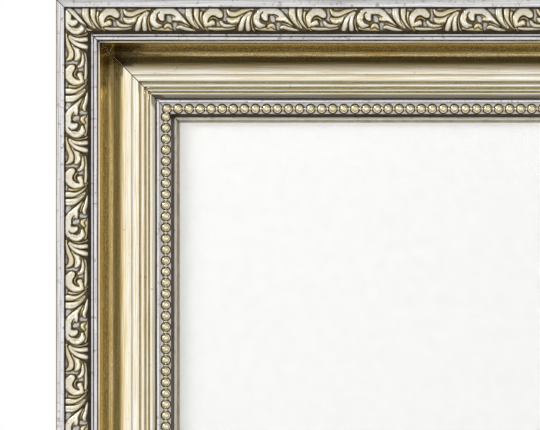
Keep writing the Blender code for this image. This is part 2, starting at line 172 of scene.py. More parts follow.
# Each step of the room's brightness: the axis of the direction, where the step starts and ends along it,
# the brightness before and after, and how it joins the steps above it
ROOM = [
    ("Y", -0.55, -0.88, 0.0, 1.0, "ADD"),
    ("Z", -0.6, 0.05, 0.3, 1.0, "MULTIPLY"),
    ("Z", 0.04, 0.28, 1.0, 0.5, "MULTIPLY"),
    ("X", -0.15, -0.55, 1.0, 0.4, "MULTIPLY"),
    ("X", 0.3, 0.9, 0.08, 0.28, "ADD"),
    ("X", -0.3, -0.9, 0.0, 0.25, "ADD"),
    ("Z", 0.3, 0.9, 0.0, 0.08, "ADD"),
    ("Y", BEHIND_FROM, BEHIND_TO, 0.0, 0.5, "ADD"),
]
# Matt surfaces take this share of it, and the lamps give them the rest
DIFFUSE_SHARE = 0.5

bpy.context.scene.view_settings.view_transform = "Standard"
world = bpy.data.worlds.new("studio")
bpy.context.scene.world = world
world.use_nodes = True
sky = world.node_tree
direction = sky.nodes.new("ShaderNodeTexCoord").outputs["Generated"]
part_along = {axis: add(sky, "ShaderNodeSeparateXYZ", {0: direction}, axis) for axis in "XYZ"}
glow = 0.0
for axis, start, end, before, after, joined in ROOM:
    limits = {"Value": part_along[axis], "From Min": start, "From Max": end}
    limits.update({"To Min": before, "To Max": after})
    step = add(sky, "ShaderNodeMapRange", limits, interpolation_type="SMOOTHSTEP")
    glow = add(sky, "ShaderNodeMath", {0: glow, 1: step}, operation=joined)
limits = {"Value": part_along["Y"], "From Min": BEHIND_FROM, "From Max": BEHIND_TO}
behind = add(sky, "ShaderNodeMapRange", limits)
rays = sky.nodes.new("ShaderNodeLightPath").outputs
thrown_back = {0: rays["Is Glossy Ray"], 1: rays["Is Transmission Ray"]}
in_metal = add(sky, "ShaderNodeMath", thrown_back, operation="MAXIMUM")
in_metal = add(sky, "ShaderNodeMath", {0: in_metal, 1: behind}, operation="MULTIPLY")
seen = add(sky, "ShaderNodeMath", {0: rays["Is Camera Ray"], 1: in_metal}, operation="MAXIMUM")
share = add(sky, "ShaderNodeMix", {0: rays["Is Diffuse Ray"], 2: 1.0, 3: DIFFUSE_SHARE})
glow = add(sky, "ShaderNodeMath", {0: glow, 1: share}, operation="MULTIPLY")
strength = add(sky, "ShaderNodeMix", {0: seen, 2: glow, 3: 1.0})
fill(sky, sky.nodes["Background"], {"Strength": strength, "Color": (1, 1, 1, 1)})
print("steps of room light:", len(ROOM))

# %% [markdown]
# Three soft boxes stand in for the photographer's lamps: one up on the left gives the soft shadow
# inside the frame, one beside the camera lights the flat card, and one behind lights the back. Two
# of them are kept out of the metal, which would show them as hard white squares. The floor is pale
# and plain. Further out it fades to white, for the camera alone, so that it has no far edge.
# %% Lamps and floor
# Each lamp: its place and what it points at, the side of its square in metres, its watts, and whether
# it shows in metal
LAMPS = {
    "key_upper_left": ((-1.6, -1.2, 1.1), (-0.1, 0, 0.15), 0.7, 17, True),
    "card_light": ((0.0, -2.6, 0.1), (0, 0, 0.05), 0.6, 30.5, False),
    "back_light": ((0.6, 1.9, 0.9), (0, 0, 0), 1.4, 26, False),
}
FLOOR_HALF, FLOOR_GAP = 4.0, 0.5 * MM
FLOOR_CLOUD = 333 * MM
FADE_FROM, FADE_TO = 0.35, 1.3

for name, (place, aim, side, watts, shows) in LAMPS.items():
    light = bpy.data.lights.new(name, "AREA")
    light.shape = "SQUARE"
    light.size = side
    light.energy = watts
    lamp = linked(name, light)
    lamp.location = place
    lamp.rotation_euler = (Vector(aim) - Vector(place)).to_track_quat("-Z", "Y").to_euler()
    lamp.visible_glossy = shows

# Matt floor paint: so even and pale that only the frame's soft shadow shows on it. Further out it fades
# to white for the camera
paint, tree, shader, where = surface("pale_floor_paint")
cloud = add(tree, "ShaderNodeTexNoise", {"Vector": where.outputs["Object"], "Scale": 1 / FLOOR_CLOUD})
tone = add(tree, "ShaderNodeValToRGB", {0: cloud}, stops=[(0.3, "#E9E8E6"), (0.7, "#EFEEEC")])
fill(tree, shader, {"Base Color": tone, "Roughness": 0.8})
away = add(tree, "ShaderNodeVectorMath", {0: where.outputs["Object"]}, "Value", operation="LENGTH")
limits = {"Value": away, "From Min": FADE_FROM, "From Max": FADE_TO}
faded = add(tree, "ShaderNodeMapRange", limits, interpolation_type="SMOOTHSTEP")
to_camera = add(tree, "ShaderNodeLightPath", out="Is Camera Ray")
faded = add(tree, "ShaderNodeMath", {0: faded, 1: to_camera}, operation="MULTIPLY")
white = add(tree, "ShaderNodeEmission", {"Strength": 1.0})
blend = add(tree, "ShaderNodeMixShader", {0: faded, 1: shader.outputs[0], 2: white})
fill(tree, tree.nodes["Material Output"], {"Surface": blend})
floor_z = CAD_BOX[0][2] - FLOOR_GAP
around = ((-1, -1), (1, -1), (1, 1), (-1, 1))
floor_corners = [(x * FLOOR_HALF, y * FLOOR_HALF, floor_z) for x, y in around]
floor = piece("floor", mesh_from("floor", floor_corners, [(0, 1, 2, 3)]), paint)
floor.visible_glossy = False
print("lamps:", len(LAMPS), "floor at", round(floor_z, 4))

# %% [markdown]
# The finishes on the moulding. Gold leaf is beaten metal laid on coloured clay and rubbed with an
# agate, so it is a metal with long, faint streaks along the rail, and a little dark clay shows
# through where hands have worn it. Silver leaf is the same work in another metal, greyer and more
# rubbed. A photograph of old leaf could be wrapped on, but it would blur up close and repeat along
# the rail, so two procedural patterns are made first: streaks along a rail, and soft patches.
# %% Streaks and patches
# The marks of the agate are finer than a pixel on the real frame. They are drawn about as wide as one
# and a half pixels, so that they show
STREAK_ALONG, STREAK_ACROSS = 90 * MM, 0.9 * MM
STROKE_ALONG, STROKE_ACROSS = 24 * MM, 0.8 * MM


def streaks(tree, where, seed, along=STREAK_ALONG, across=STREAK_ACROSS):
    """Long thin streaks along the rail, from the piece's own UV map in metres."""
    scale = (1 / along, 1 / across, 1)
    placing = {"Vector": where.outputs["UV"], "Scale": scale, "Location": (seed, seed, 0)}
    drawn_out = add(tree, "ShaderNodeMapping", placing)
    noise = {"Vector": drawn_out, "Scale": 1.0, "Detail": 4.0, "Roughness": 0.6}
    return add(tree, "ShaderNodeTexNoise", noise)


def patches(tree, where, size, seed):
    """Soft patches of about this size."""
    placing = {"Vector": where.outputs["Object"], "Location": (seed, seed, seed)}
    moved = add(tree, "ShaderNodeMapping", placing)
    noise = {"Vector": moved, "Scale": 1 / size, "Detail": 5.0, "Roughness": 0.65}
    return add(tree, "ShaderNodeTexNoise", noise)


# %% [markdown]
# Leaf is a full metal in two tones that follow the streaks, and in worn patches the coat under it
# shows. On the gold, two more values darken it with umber, as painted shade for the dark reflections
# in the hollow, and make it paler, partly as rubbed leaf and partly as painted highlight. They ride on
# the points of the rails, so the painted shading keeps to the bands of the moulding.
# %% Metal leaf
# How strongly the strokes break up the pale places, which are partly rubbed leaf and partly painted
# highlight
PALE_PLACE_STREAK = 1.1
# The gold that the umber darkening turns to: painted shade for the dark reflections in the hollow and by
# the mitres
PAINTED_SHADE_UMBER = "#6E591B"
MOTTLE = 1.1 * MM
MOTTLE_LEAST, MOTTLE_MOST = 0.45, 1.3
WEAR_SIZE, WEAR_EDGE, WEAR_MOST = 3 * MM, 0.12, 0.6
LEAF_DENT = 0.1 * MM
# How much shinier and duller than its mean the leaf is along its streaks
GLOSS_LESS, GLOSS_MORE = 0.05, 0.08


def leaf(name, bright, dull, worn, wear_from, gloss, seed, pale_rub_and_highlight=None):
    """Metal leaf: streaked between two tones, and worn to the ground under it in patches.

    Where two pale tones are given, the gold is also darkened with umber as painted shade, and made
    paler, partly as wear and partly as painted highlight, as far as the points of the piece say.
    """
    made, tree, shader, where = surface(name)
    strokes = streaks(tree, where, seed + 20, STROKE_ALONG, STROKE_ACROSS)
    streak = add(tree, "ShaderNodeMix", {0: 0.5, 2: streaks(tree, where, seed), 3: strokes})
    tone = add(tree, "ShaderNodeValToRGB", {0: streak}, stops=[(0.37, dull), (0.6, bright)])
    # Umber darkens the gold as painted shade, and the pale tones lighten it, partly as rubbed leaf and
    # partly as painted highlight
    if pale_rub_and_highlight:
        umber_and_painted_shade = add(tree, "ShaderNodeAttribute", out="Fac", attribute_name="umber_and_painted_shade")
        mottle = {"Value": patches(tree, where, MOTTLE, seed), "From Min": 0.35, "From Max": 0.65}
        mottle.update({"To Min": MOTTLE_LEAST, "To Max": MOTTLE_MOST})
        mottle = add(tree, "ShaderNodeMapRange", mottle)
        umber_and_painted_shade = {0: umber_and_painted_shade, 1: mottle}
        umber_and_painted_shade = add(tree, "ShaderNodeMath", umber_and_painted_shade, operation="MULTIPLY", use_clamp=True)
        rub_and_highlight = add(tree, "ShaderNodeAttribute", out="Fac", attribute_name="rub_and_highlight")
        uneven = add(tree, "ShaderNodeMath", {0: strokes, 1: 0.5}, operation="SUBTRACT")
        uneven = {0: uneven, 1: PALE_PLACE_STREAK, 2: rub_and_highlight}
        rub_and_highlight = add(tree, "ShaderNodeMath", uneven, operation="MULTIPLY_ADD", use_clamp=True)
        pale_stops = [(0.3, pale_rub_and_highlight[0]), (0.6, pale_rub_and_highlight[1])]
        pale = add(tree, "ShaderNodeValToRGB", {0: streak}, stops=pale_stops)
        umber = {0: umber_and_painted_shade, 6: tone, 7: linear(PAINTED_SHADE_UMBER)}
        tone = add(tree, "ShaderNodeMix", umber, 2, data_type="RGBA")
        tone = add(tree, "ShaderNodeMix", {0: rub_and_highlight, 6: tone, 7: pale}, 2, data_type="RGBA")
    wear = {"Value": patches(tree, where, WEAR_SIZE, seed), "From Min": wear_from}
    wear.update({"From Max": wear_from + WEAR_EDGE, "To Max": WEAR_MOST})
    worn_here = add(tree, "ShaderNodeMapRange", wear)
    tone = add(tree, "ShaderNodeMix", {0: worn_here, 6: tone, 7: linear(worn)}, 2, data_type="RGBA")
    uneven = {"Value": streak, "To Min": gloss - GLOSS_LESS, "To Max": gloss + GLOSS_MORE}
    rough = add(tree, "ShaderNodeMapRange", uneven)
    dents = add(tree, "ShaderNodeBump", {"Strength": 0.6, "Distance": LEAF_DENT, "Height": streak})
    fill(tree, shader, {"Base Color": tone, "Roughness": rough, "Metallic": 1.0, "Normal": dents})
    return made


# %% [markdown]
# Washes, size and rubber are dull, with two close tones in patches. Wood is planed along the rail,
# so it shows fine fibres and the lines of its years, which run out at the face in long bands. Both
# are cheap to draw with the same two patterns as the leaf.
# %% Matt coats and wood
GRIT = 0.1 * MM
# The fibres of pine are also drawn coarser than life
FIBRE_ALONG, FIBRE_ACROSS = 60 * MM, 0.8 * MM
YEAR_ALONG, YEAR_ACROSS = 260 * MM, 14 * MM
FIBRE_SHARE = 0.45


def matt(name, dark, pale, size, roughness, bump=0.1):
    """A dull finish in two close tones, in patches of this size."""
    made, tree, shader, where = surface(name)
    spread = patches(tree, where, size, 1.0)
    tone = add(tree, "ShaderNodeValToRGB", {0: spread}, stops=[(0.35, dark), (0.65, pale)])
    grit = add(tree, "ShaderNodeBump", {"Strength": bump, "Distance": GRIT, "Height": spread})
    fill(tree, shader, {"Base Color": tone, "Roughness": roughness, "Normal": grit})
    return made


def grained(name, pale, mid, dark, roughness):
    """Wood planed along its grain: fine fibres, and the lines of its years as they run out."""
    made, tree, shader, where = surface(name)
    fibre = streaks(tree, where, 4.0, FIBRE_ALONG, FIBRE_ACROSS)
    years = streaks(tree, where, 9.0, YEAR_ALONG, YEAR_ACROSS)
    bands = [(0.3, pale), (0.4, mid), (0.42, dark), (0.45, pale)]
    bands += [(0.53, mid), (0.55, dark), (0.58, pale), (0.7, mid)]
    tone = add(tree, "ShaderNodeValToRGB", {0: years}, stops=bands)
    fine = add(tree, "ShaderNodeValToRGB", {0: fibre}, stops=[(0.3, mid), (0.65, pale)])
    tone = add(tree, "ShaderNodeMix", {0: FIBRE_SHARE, 6: tone, 7: fine}, 2, data_type="RGBA")
    pores = add(tree, "ShaderNodeBump", {"Strength": 0.3, "Distance": GRIT, "Height": fibre})
    fill(tree, shader, {"Base Color": tone, "Roughness": roughness, "Normal": pores})
    return made


# %% [markdown]
# Now each finish on the moulding gets its colours, and is named for what it is on the real frame and,
# where it paints light or shade, for that too.
# A gilder lays clay and size first, leaf over them and the wash last. The coats could be mixed in
# one large material, but each band shows little more than its top coat, so each has its own.
# %% The finishes of the moulding
# Gold leaf, rubbed through on the steps: deep gold in the hollow, nearly white where it is rubbed. Its
# pale tones are also painted highlight, and its umber bands painted shade
PALE_RUB_AND_HIGHLIGHT_TONES = ("#E4D3A2", "#FFFBEE")
gold_leaf = leaf("gold_leaf_with_painted_shade_and_highlight", "#F0D284", "#D4AF5E", "#7A5C2E", 0.66, 0.15, 2.0, PALE_RUB_AND_HIGHLIGHT_TONES)
# Silver leaf rubbed with an agate: bright, with small dark marks of wear
silver_leaf = leaf("rubbed_silver_leaf", "#FCFBFB", "#C3C0C0", "#857D70", 0.56, 0.24, 5.0)
# The same leaf under a thin glaze: greyer, so that the pearls stand out on it
ground_leaf = leaf("toned_silver_ground", "#DEDBD6", "#B1ACA4", "#5A5146", 0.57, 0.3, 11.0)
# Umber in glue size, left in the quirks: dark matt lines that part the bands
umber_wash = matt("umber_wash", "#2B231B", "#4A3F33", 2 * MM, 0.7)
# Glue and dust in the mitres: a hairline that is nearly black
joint_line = matt("dark_glue_line", "#0E0A07", "#1A1510", 2 * MM, 0.9)
# Matt ochre in the fine lines between the gold steps: painted shade, the colour of gold in shade
painted_shade_line = matt("ochre_painted_shade_line", "#A99B6A", "#C2B585", 3 * MM, 0.6)
# Bronze leaf under a dark glaze: the brown slope inside the pearls
lip_bronze = leaf("toned_bronze_leaf", "#9C8F7A", "#75695A", "#3A3021", 0.6, 0.4, 8.0)
# Size, the coat that leaf is laid on: pale along the lip, as a painted highlight on the edge of the
# nose, and grey on the face by the glass, a dull coat that also paints the shade on that face
lip_highlight = matt("size_coat_painted_highlight", "#C8C1A9", "#D9D3BE", 4 * MM, 0.6)
lip_grey_and_shade = matt("grey_size_coat_and_painted_shade", "#8B8573", "#A39C8A", 4 * MM, 0.6)
# Bole, a yellow clay, brushed thin on the outer side: ochre, with the grain showing through
side_bole = grained("ochre_bole_on_wood", "#94794A", "#866C40", "#77603A", 0.5)
# Pine, planed and left bare at the back: pale, with darker lines of its years
bare_wood = grained("planed_pine", "#D9BC90", "#CCAB7B", "#B98F5C", 0.7)
print("materials so far:", len(bpy.data.materials))

# %% [markdown]
# The moulding is one section pushed along each side and cut at 45 degrees. A swept curve could make
# it, but the bands need different finishes and sharp quirks between them, so each band is written as
# a short run of points with the finish of that band, and a loft joins the runs from mitre to mitre.
# %% The sizes of the section
# All in millimetres. First the heights above the back of the rail
REBATE_DEPTH, CHAMFER_FOOT, NOSE, PEARL_BED, FLOOR_OF_COVE = 6.4, 7.3, 9.3, 11.3, 12.7
BACK_SANDED, SIDE_FOOT = 0.12, 12
QUIRK_DEPTH, FILLET_RISE, FILLET_FALL = 0.9, 1.6, 0.4
BED_CROWN = 1.4
BEAD_BASE, BEAD_LINE, THIN_BEAD_RISE, WIDE_BEAD_RISE = 0.9, 0.5, 0.5, 0.6
SHELF_RISE, STEP_RISE, LAST_STEP_FALL = 0.36, 0.6, 0.95
# Then the places across it, in from the outer edge
SIDE_IN, FILLET_IN = 3, 4.4
BED_OUT, BED_IN, BED_EDGE, BED_STEPS = 4.9, 17.2, 0.1, 8
THIN_BEAD, WIDE_BEAD = (18.5, 19.65), (19.87, 21.85)
COVE_OUT, COVE_IN, COVE_STRAIGHT = 22.2, 39.7, 5.5
SHELF = (39.3, 43.6)
GOLD_STEPS = ((44.0, 46.7), (47.1, 48.7), (49.1, 50.1))
LAST_STEP_TOP, LAST_STEP_FROM = 49.7, 49.8
LAST_STEP_WIDTH, LAST_STEP_CURVE, LAST_STEP_LIP = 2.3, 1.15, 0.6
SINKING = (52.2, 52.9)
INNER_FILLET_IN, PEARL_BAND_IN = 54.6, 60.4
# Points of the lip, across and up
BRONZE_END, NOSE_CENTRE, PALE_LIP = (62.35, NOSE + 0.25), (62.65, NOSE - 0.05), (63.6, 8.55)
REBATE_WALL, SIGHT = 59.0, 65.0
# The small flat at the top of the cove: places across it, and how far each lies below the crest
COVE_EDGE = ((22.22, 1.02), (22.28, 0.96), (22.36, 0.93), (23.04, 0.93), (23.13, 1.0), (23.19, 1.4))
COVE_EDGE_WIDTH, COVE_EDGE_FOOT = 1.02, 1.1
STEP_LINE = 0.4
EDGE_ROUND, ARRIS, NOSE_ROUND = 0.8, 0.35, 0.35
NOSE_FROM, NOSE_TO = 1.4 * QUARTER, 0.5 * QUARTER
# How many points of the rounded outer edge have lost their leaf
WORN_STEPS = 6
COVE_ANGLE = math.radians(60)
COVE_RADIUS = (COVE_IN - COVE_OUT - COVE_STRAIGHT) / math.sin(COVE_ANGLE)
CREST = FLOOR_OF_COVE + COVE_STRAIGHT * math.tan(COVE_ANGLE) + COVE_RADIUS * (1 - math.cos(COVE_ANGLE))
FILLET_TOP = CREST + FILLET_RISE
print("crest height in mm:", round(CREST, 2))

# %% [markdown]
# A moulding plane cuts hollows, beads and sharp quirks in one pass, so small functions named for
# those cuts give the points: an arc, a ridge and a quirk. The runs then read like the section itself,
# from the back, round the outer edge and over the front, to the edge by the glass.
# %% The section in runs


def arc(centre, radius, start, end, steps=10):
    turns = [start + (end - start) * i / steps for i in range(steps + 1)]
    return [(centre[0] + radius * math.cos(a), centre[1] + radius * math.sin(a)) for a in turns]


def ridge(edges, base, rise, steps=14, fullness=2):
    """A ridge between two edges; a higher fullness makes it flatter on top."""
    middle, half = (edges[0] + edges[1]) / 2, (edges[1] - edges[0]) / 2
    spots = [-math.cos(math.pi * i / steps) for i in range(steps + 1)]
    return [(middle + half * x, base + rise * (1 - abs(x) ** fullness)) for x in spots]


def bed_height(across):
    return CREST + BED_CROWN * (1 - ((across - (BED_OUT + BED_IN) / 2) / ((BED_IN - BED_OUT) / 2)) ** 2)


def quirk(start, end, floor_height, far_height, finish="wash"):
    return finish, [(start, floor_height), (end, floor_height), (end, far_height)]


def outer_runs():
    """The back, the outer side, and the front as far as the cove."""
    low = CREST - QUIRK_DEPTH
    shoulder = FILLET_TOP - FILLET_FALL - EDGE_ROUND
    back = [(REBATE_WALL, REBATE_DEPTH), (REBATE_WALL, BACK_SANDED), (SIDE_IN, BACK_SANDED)]
    edge = arc((EDGE_ROUND, shoulder), EDGE_ROUND, 2 * QUARTER, QUARTER)[1:]
    inner_edge = arc((FILLET_IN - ARRIS, FILLET_TOP - ARRIS), ARRIS, QUARTER, 0, 5)
    bed = [BED_OUT + (BED_IN - BED_OUT) * i / BED_STEPS for i in range(1, BED_STEPS + 1)]
    return [
        ("wood", back),
        ("side", [(0, SIDE_FOOT), (0, shoulder)] + edge[:WORN_STEPS]),
        ("silver", edge[WORN_STEPS:] + inner_edge),
        quirk(FILLET_IN, BED_OUT, low, CREST),
        ("wash", [(across, bed_height(across)) for across in bed]),
        quirk(BED_IN + BED_EDGE, THIN_BEAD[0], low, CREST),
        ("silver", ridge(THIN_BEAD, CREST + BEAD_BASE, THIN_BEAD_RISE, 10, 6)),
        quirk(THIN_BEAD[1], WIDE_BEAD[0], CREST + BEAD_LINE, CREST + BEAD_BASE),
        ("silver", ridge(WIDE_BEAD, CREST + BEAD_BASE, WIDE_BEAD_RISE, 14, 8)[1:]),
        quirk(WIDE_BEAD[1], COVE_OUT, low, CREST - COVE_EDGE_FOOT),
    ]


def gold_runs():
    """The cove, the shelf at its foot, and the three gold steps."""
    hollow = [(across, CREST - drop) for across, drop in COVE_EDGE]
    straight = [COVE_EDGE_WIDTH + (COVE_STRAIGHT - COVE_EDGE_WIDTH) * i / 10 for i in range(10)]
    hollow += [(COVE_OUT + part, CREST - part * math.tan(COVE_ANGLE)) for part in straight]
    middle = (COVE_IN, FLOOR_OF_COVE + COVE_RADIUS)
    hollow += arc(middle, COVE_RADIUS, -QUARTER - COVE_ANGLE, -QUARTER, 36)[:-1]
    hollow += ridge(SHELF, FLOOR_OF_COVE, SHELF_RISE, 16, 3)[1:]
    runs = [("gold", hollow)]
    for edges in GOLD_STEPS:
        # The fine line before each step is matt ochre: painted shade
        line = (edges[0] - STEP_LINE, edges[0])
        runs.append(quirk(*line, FLOOR_OF_COVE - QUIRK_DEPTH, FLOOR_OF_COVE, "tint"))
        runs.append(("gold", ridge(edges, FLOOR_OF_COVE, STEP_RISE, 16, 3)[1:]))
    # The last step keeps its outer half only, and then slopes away to the sinking beside it
    last = [point for point in runs.pop()[1] if point[0] < LAST_STEP_TOP]
    for part in np.linspace(0, 1, 7):
        across = LAST_STEP_FROM + LAST_STEP_WIDTH * part
        last.append((across, FLOOR_OF_COVE + STEP_RISE - LAST_STEP_FALL * part**LAST_STEP_CURVE))
    runs.append(("gold", last + [(SINKING[0], FLOOR_OF_COVE - LAST_STEP_LIP)]))
    return runs


def inner_runs():
    """From the sinking to the sight edge, and back to the wall of the rebate."""
    sinking = [(SINKING[0], PEARL_BED), (SINKING[1], PEARL_BED), (SINKING[1], FLOOR_OF_COVE - ARRIS)]
    fillet = arc((SINKING[1] + ARRIS, FLOOR_OF_COVE - ARRIS), ARRIS, 2 * QUARTER, QUARTER, 5)[1:]
    fillet += arc((INNER_FILLET_IN - ARRIS, FLOOR_OF_COVE - ARRIS), ARRIS, QUARTER, 0, 5)
    return [
        ("wash", sinking),
        ("silver", fillet),
        ("wash", [(INNER_FILLET_IN, PEARL_BED)]),
        ("ground", [(PEARL_BAND_IN, PEARL_BED)]),
        ("bronze", [BRONZE_END]),
        ("silver", arc(NOSE_CENTRE, NOSE_ROUND, NOSE_FROM, NOSE_TO, 5)),
        # A pale band on the lip, a painted highlight, and then a grey face, partly painted shade
        ("pale", [PALE_LIP]),
        ("grey", [(SIGHT, CHAMFER_FOOT), (SIGHT, REBATE_DEPTH)]),
        ("wood", [(REBATE_WALL, REBATE_DEPTH)]),
    ]


# Each finish is that of the faces between a point and the one before it, and the last point is the first
section, section_finish = [], []
for finish, points in outer_runs() + gold_runs() + inner_runs():
    section += points
    section_finish += [finish] * len(points)
section, section_finish = section[:-1], section_finish[1:]
print("section points:", len(section))

# %% [markdown]
# Each rail is lofted along its own X axis, then turned about Y to its side, clockwise from the top.
# A station every 8 mm is enough for a straight rail, and a UV map in metres, along and across,
# carries the streaks of the leaf along it. At both ends a narrow strip sinks a little and is dark, as
# glue and dust make the joint, and near the mitres the gold is darker, as painted shade for the corner.
# Two values ride on the points: how far the gold is made paler, which is partly rubbing to silver and
# partly painted highlight, and how far it is darkened with umber, which is painted shade.
# %% Four rails
FINISHES = {
    "wood": bare_wood,
    "side": side_bole,
    "silver": silver_leaf,
    "wash": umber_wash,
    "tint": painted_shade_line,
    "ground": ground_leaf,
    "gold": gold_leaf,
    "bronze": lip_bronze,
    "pale": lip_highlight,
    "grey": lip_grey_and_shade,
    "joint": joint_line,
}
# Each side's turn about Y, half its length, and how far out from the middle it lies
SIDES = {
    "top": (0, HALF_WIDTH, HALF_HEIGHT),
    "right": (90, HALF_HEIGHT, HALF_WIDTH),
    "bottom": (180, HALF_WIDTH, HALF_HEIGHT),
    "left": (-90, HALF_HEIGHT, HALF_WIDTH),
}
MITRE_GAP = 0.02 * MM
JOINT, JOINT_SINK = 0.3 * MM, 0.25 * MM
STATION = 8 * MM
# The length over which the gold darkens towards each mitre: painted shade for the corner
CORNER_SHADE_REACH = 12 * MM
# The amounts at places across the section in millimetres, with even steps between them. The pale
# amounts are partly rubbing and partly painted highlight: a bright line on the arris at the crest, the
# band in the hollow where it mirrors the white card, and the pale foot of the hollow. The umber amounts
# are painted shade for the dark reflections in the hollow
RUB_AND_HIGHLIGHT_AT = (22.2, 22.4, 23.1, 23.2, 27.6, 28.1, 29.7, 30.5, 33.0, 37.5)
RUB_AND_HIGHLIGHT_AMOUNT = (0.7, 0.7, 0.7, 0, 0, 0.35, 0.35, 0, 0, 1)
UMBER_SHADE_AT = (22.7, 24.2, 25.0, 27.3, 28.0, 29.7, 30.6, 32.5, 34.5)
UMBER_SHADE_AMOUNT = (0, 0.05, 0.75, 0.75, 0, 0, 0.4, 0.4, 0)


def smooth(mesh, sharp_angle):
    """Smooth shading, with an edge left sharp where its faces meet at more than so many degrees."""
    mesh.shade_smooth()
    mesh.set_sharp_from_angle(angle=math.radians(sharp_angle))


def point_values(mesh, name, values):
    """Writes one number for each point, which a material can read by this name."""
    mesh.attributes.new(name, "FLOAT", "POINT").data.foreach_set("value", values.astype(np.float32))


def side_matrix(side):
    turn, _, reach = SIDES[side]
    return Matrix.Rotation(math.radians(turn), 4, "Y") @ Matrix.Translation((0, 0, reach))


def mitre_end(half_length, across):
    return half_length - across - MITRE_GAP / math.sqrt(2)


def rail(side):
    _, half_length, _ = SIDES[side]
    across = np.array([u for u, _ in section]) * MM
    height = np.array([h for _, h in section]) * MM
    ends = mitre_end(half_length, across)
    spread = np.linspace(-1, 1, math.ceil(2 * half_length / STATION) + 1)
    along = np.vstack([-ends, np.outer(spread, ends - JOINT), ends])
    sink = np.zeros_like(along)
    sink[0] = sink[-1] = JOINT_SINK * (height > REBATE_DEPTH * MM)
    points = np.stack([along, BACK_Y - height + sink, np.broadcast_to(-across, along.shape)], 2)
    count, ring = len(along) - 1, len(section)
    steps = np.hypot(np.diff(across, append=across[0]), np.diff(height, append=height[0]))
    run = np.concatenate([[0], np.cumsum(steps)])
    faces, uvs = [], []
    for i in range(count):
        for j in range(ring):
            k = (j + 1) % ring
            faces.append((i * ring + j, i * ring + k, (i + 1) * ring + k, (i + 1) * ring + j))
            uvs += [(along[i, j], run[j]), (along[i, k], run[j + 1])]
            uvs += [(along[i + 1, k], run[j + 1]), (along[i + 1, j], run[j])]
    faces += [tuple(range(ring))[::-1], tuple(range(count * ring, (count + 1) * ring))]
    mesh = mesh_from(side + "_gilt_rail", points.reshape(-1, 3), faces)
    names = list(FINISHES)
    kinds = [names.index(finish) for finish in section_finish]
    joint = [names.index(finish if finish == "side" else "joint") for finish in section_finish]
    kinds = joint + kinds * (count - 2) + joint + [names.index("wood")] * 2
    mesh.polygons.foreach_set("material_index", kinds)
    layer = mesh.uv_layers.new(name="UVMap").data
    for spot, uv in enumerate(uvs):
        layer[spot].uv = uv
    # Paler gold, partly rubbing and partly painted highlight, and umber gold as painted shade in the
    # hollow and near the mitres
    rub_and_highlight = np.broadcast_to(np.interp(across / MM, RUB_AND_HIGHLIGHT_AT, RUB_AND_HIGHLIGHT_AMOUNT), along.shape)
    corner = np.clip(1 - (ends - np.abs(along)) / CORNER_SHADE_REACH, 0, 1) * (across / MM < UMBER_SHADE_AT[-1])
    umber_and_painted_shade = np.clip(np.interp(across / MM, UMBER_SHADE_AT, UMBER_SHADE_AMOUNT) + corner, 0, 1)
    point_values(mesh, "rub_and_highlight", rub_and_highlight.reshape(-1))
    point_values(mesh, "umber_and_painted_shade", umber_and_painted_shade.reshape(-1))
    builder = bmesh.new()
    builder.from_mesh(mesh)
    bmesh.ops.recalc_face_normals(builder, faces=builder.faces)
    builder.to_mesh(mesh)
    builder.free()
    mesh.transform(side_matrix(side))
    smooth(mesh, 40)
    made = piece(side + "_gilt_rail", mesh, *FINISHES.values())
    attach(made, "frame")
    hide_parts(side + "_rail")
    return made


for side in SIDES:
    print(side, "rail faces:", len(rail(side).data.polygons))

# %% [markdown]
# The running leaf scroll is pressed from a mould in a soft composition, so one length of it repeats
# all round the frame. It could be sculpted by hand. Here each leaf is one stroke or a few that grow
# together. A stroke is a curved line with a width at each of its points. A later leaf lies over the
# earlier ones and sinks a dark line around itself. Cuts then sink the veins, and a few spots of bare
# silver ground show between the leaves.
# %% One repeat of the scroll as strokes
REPEAT = 54.6
SCROLL_ACROSS = BED_IN - BED_OUT
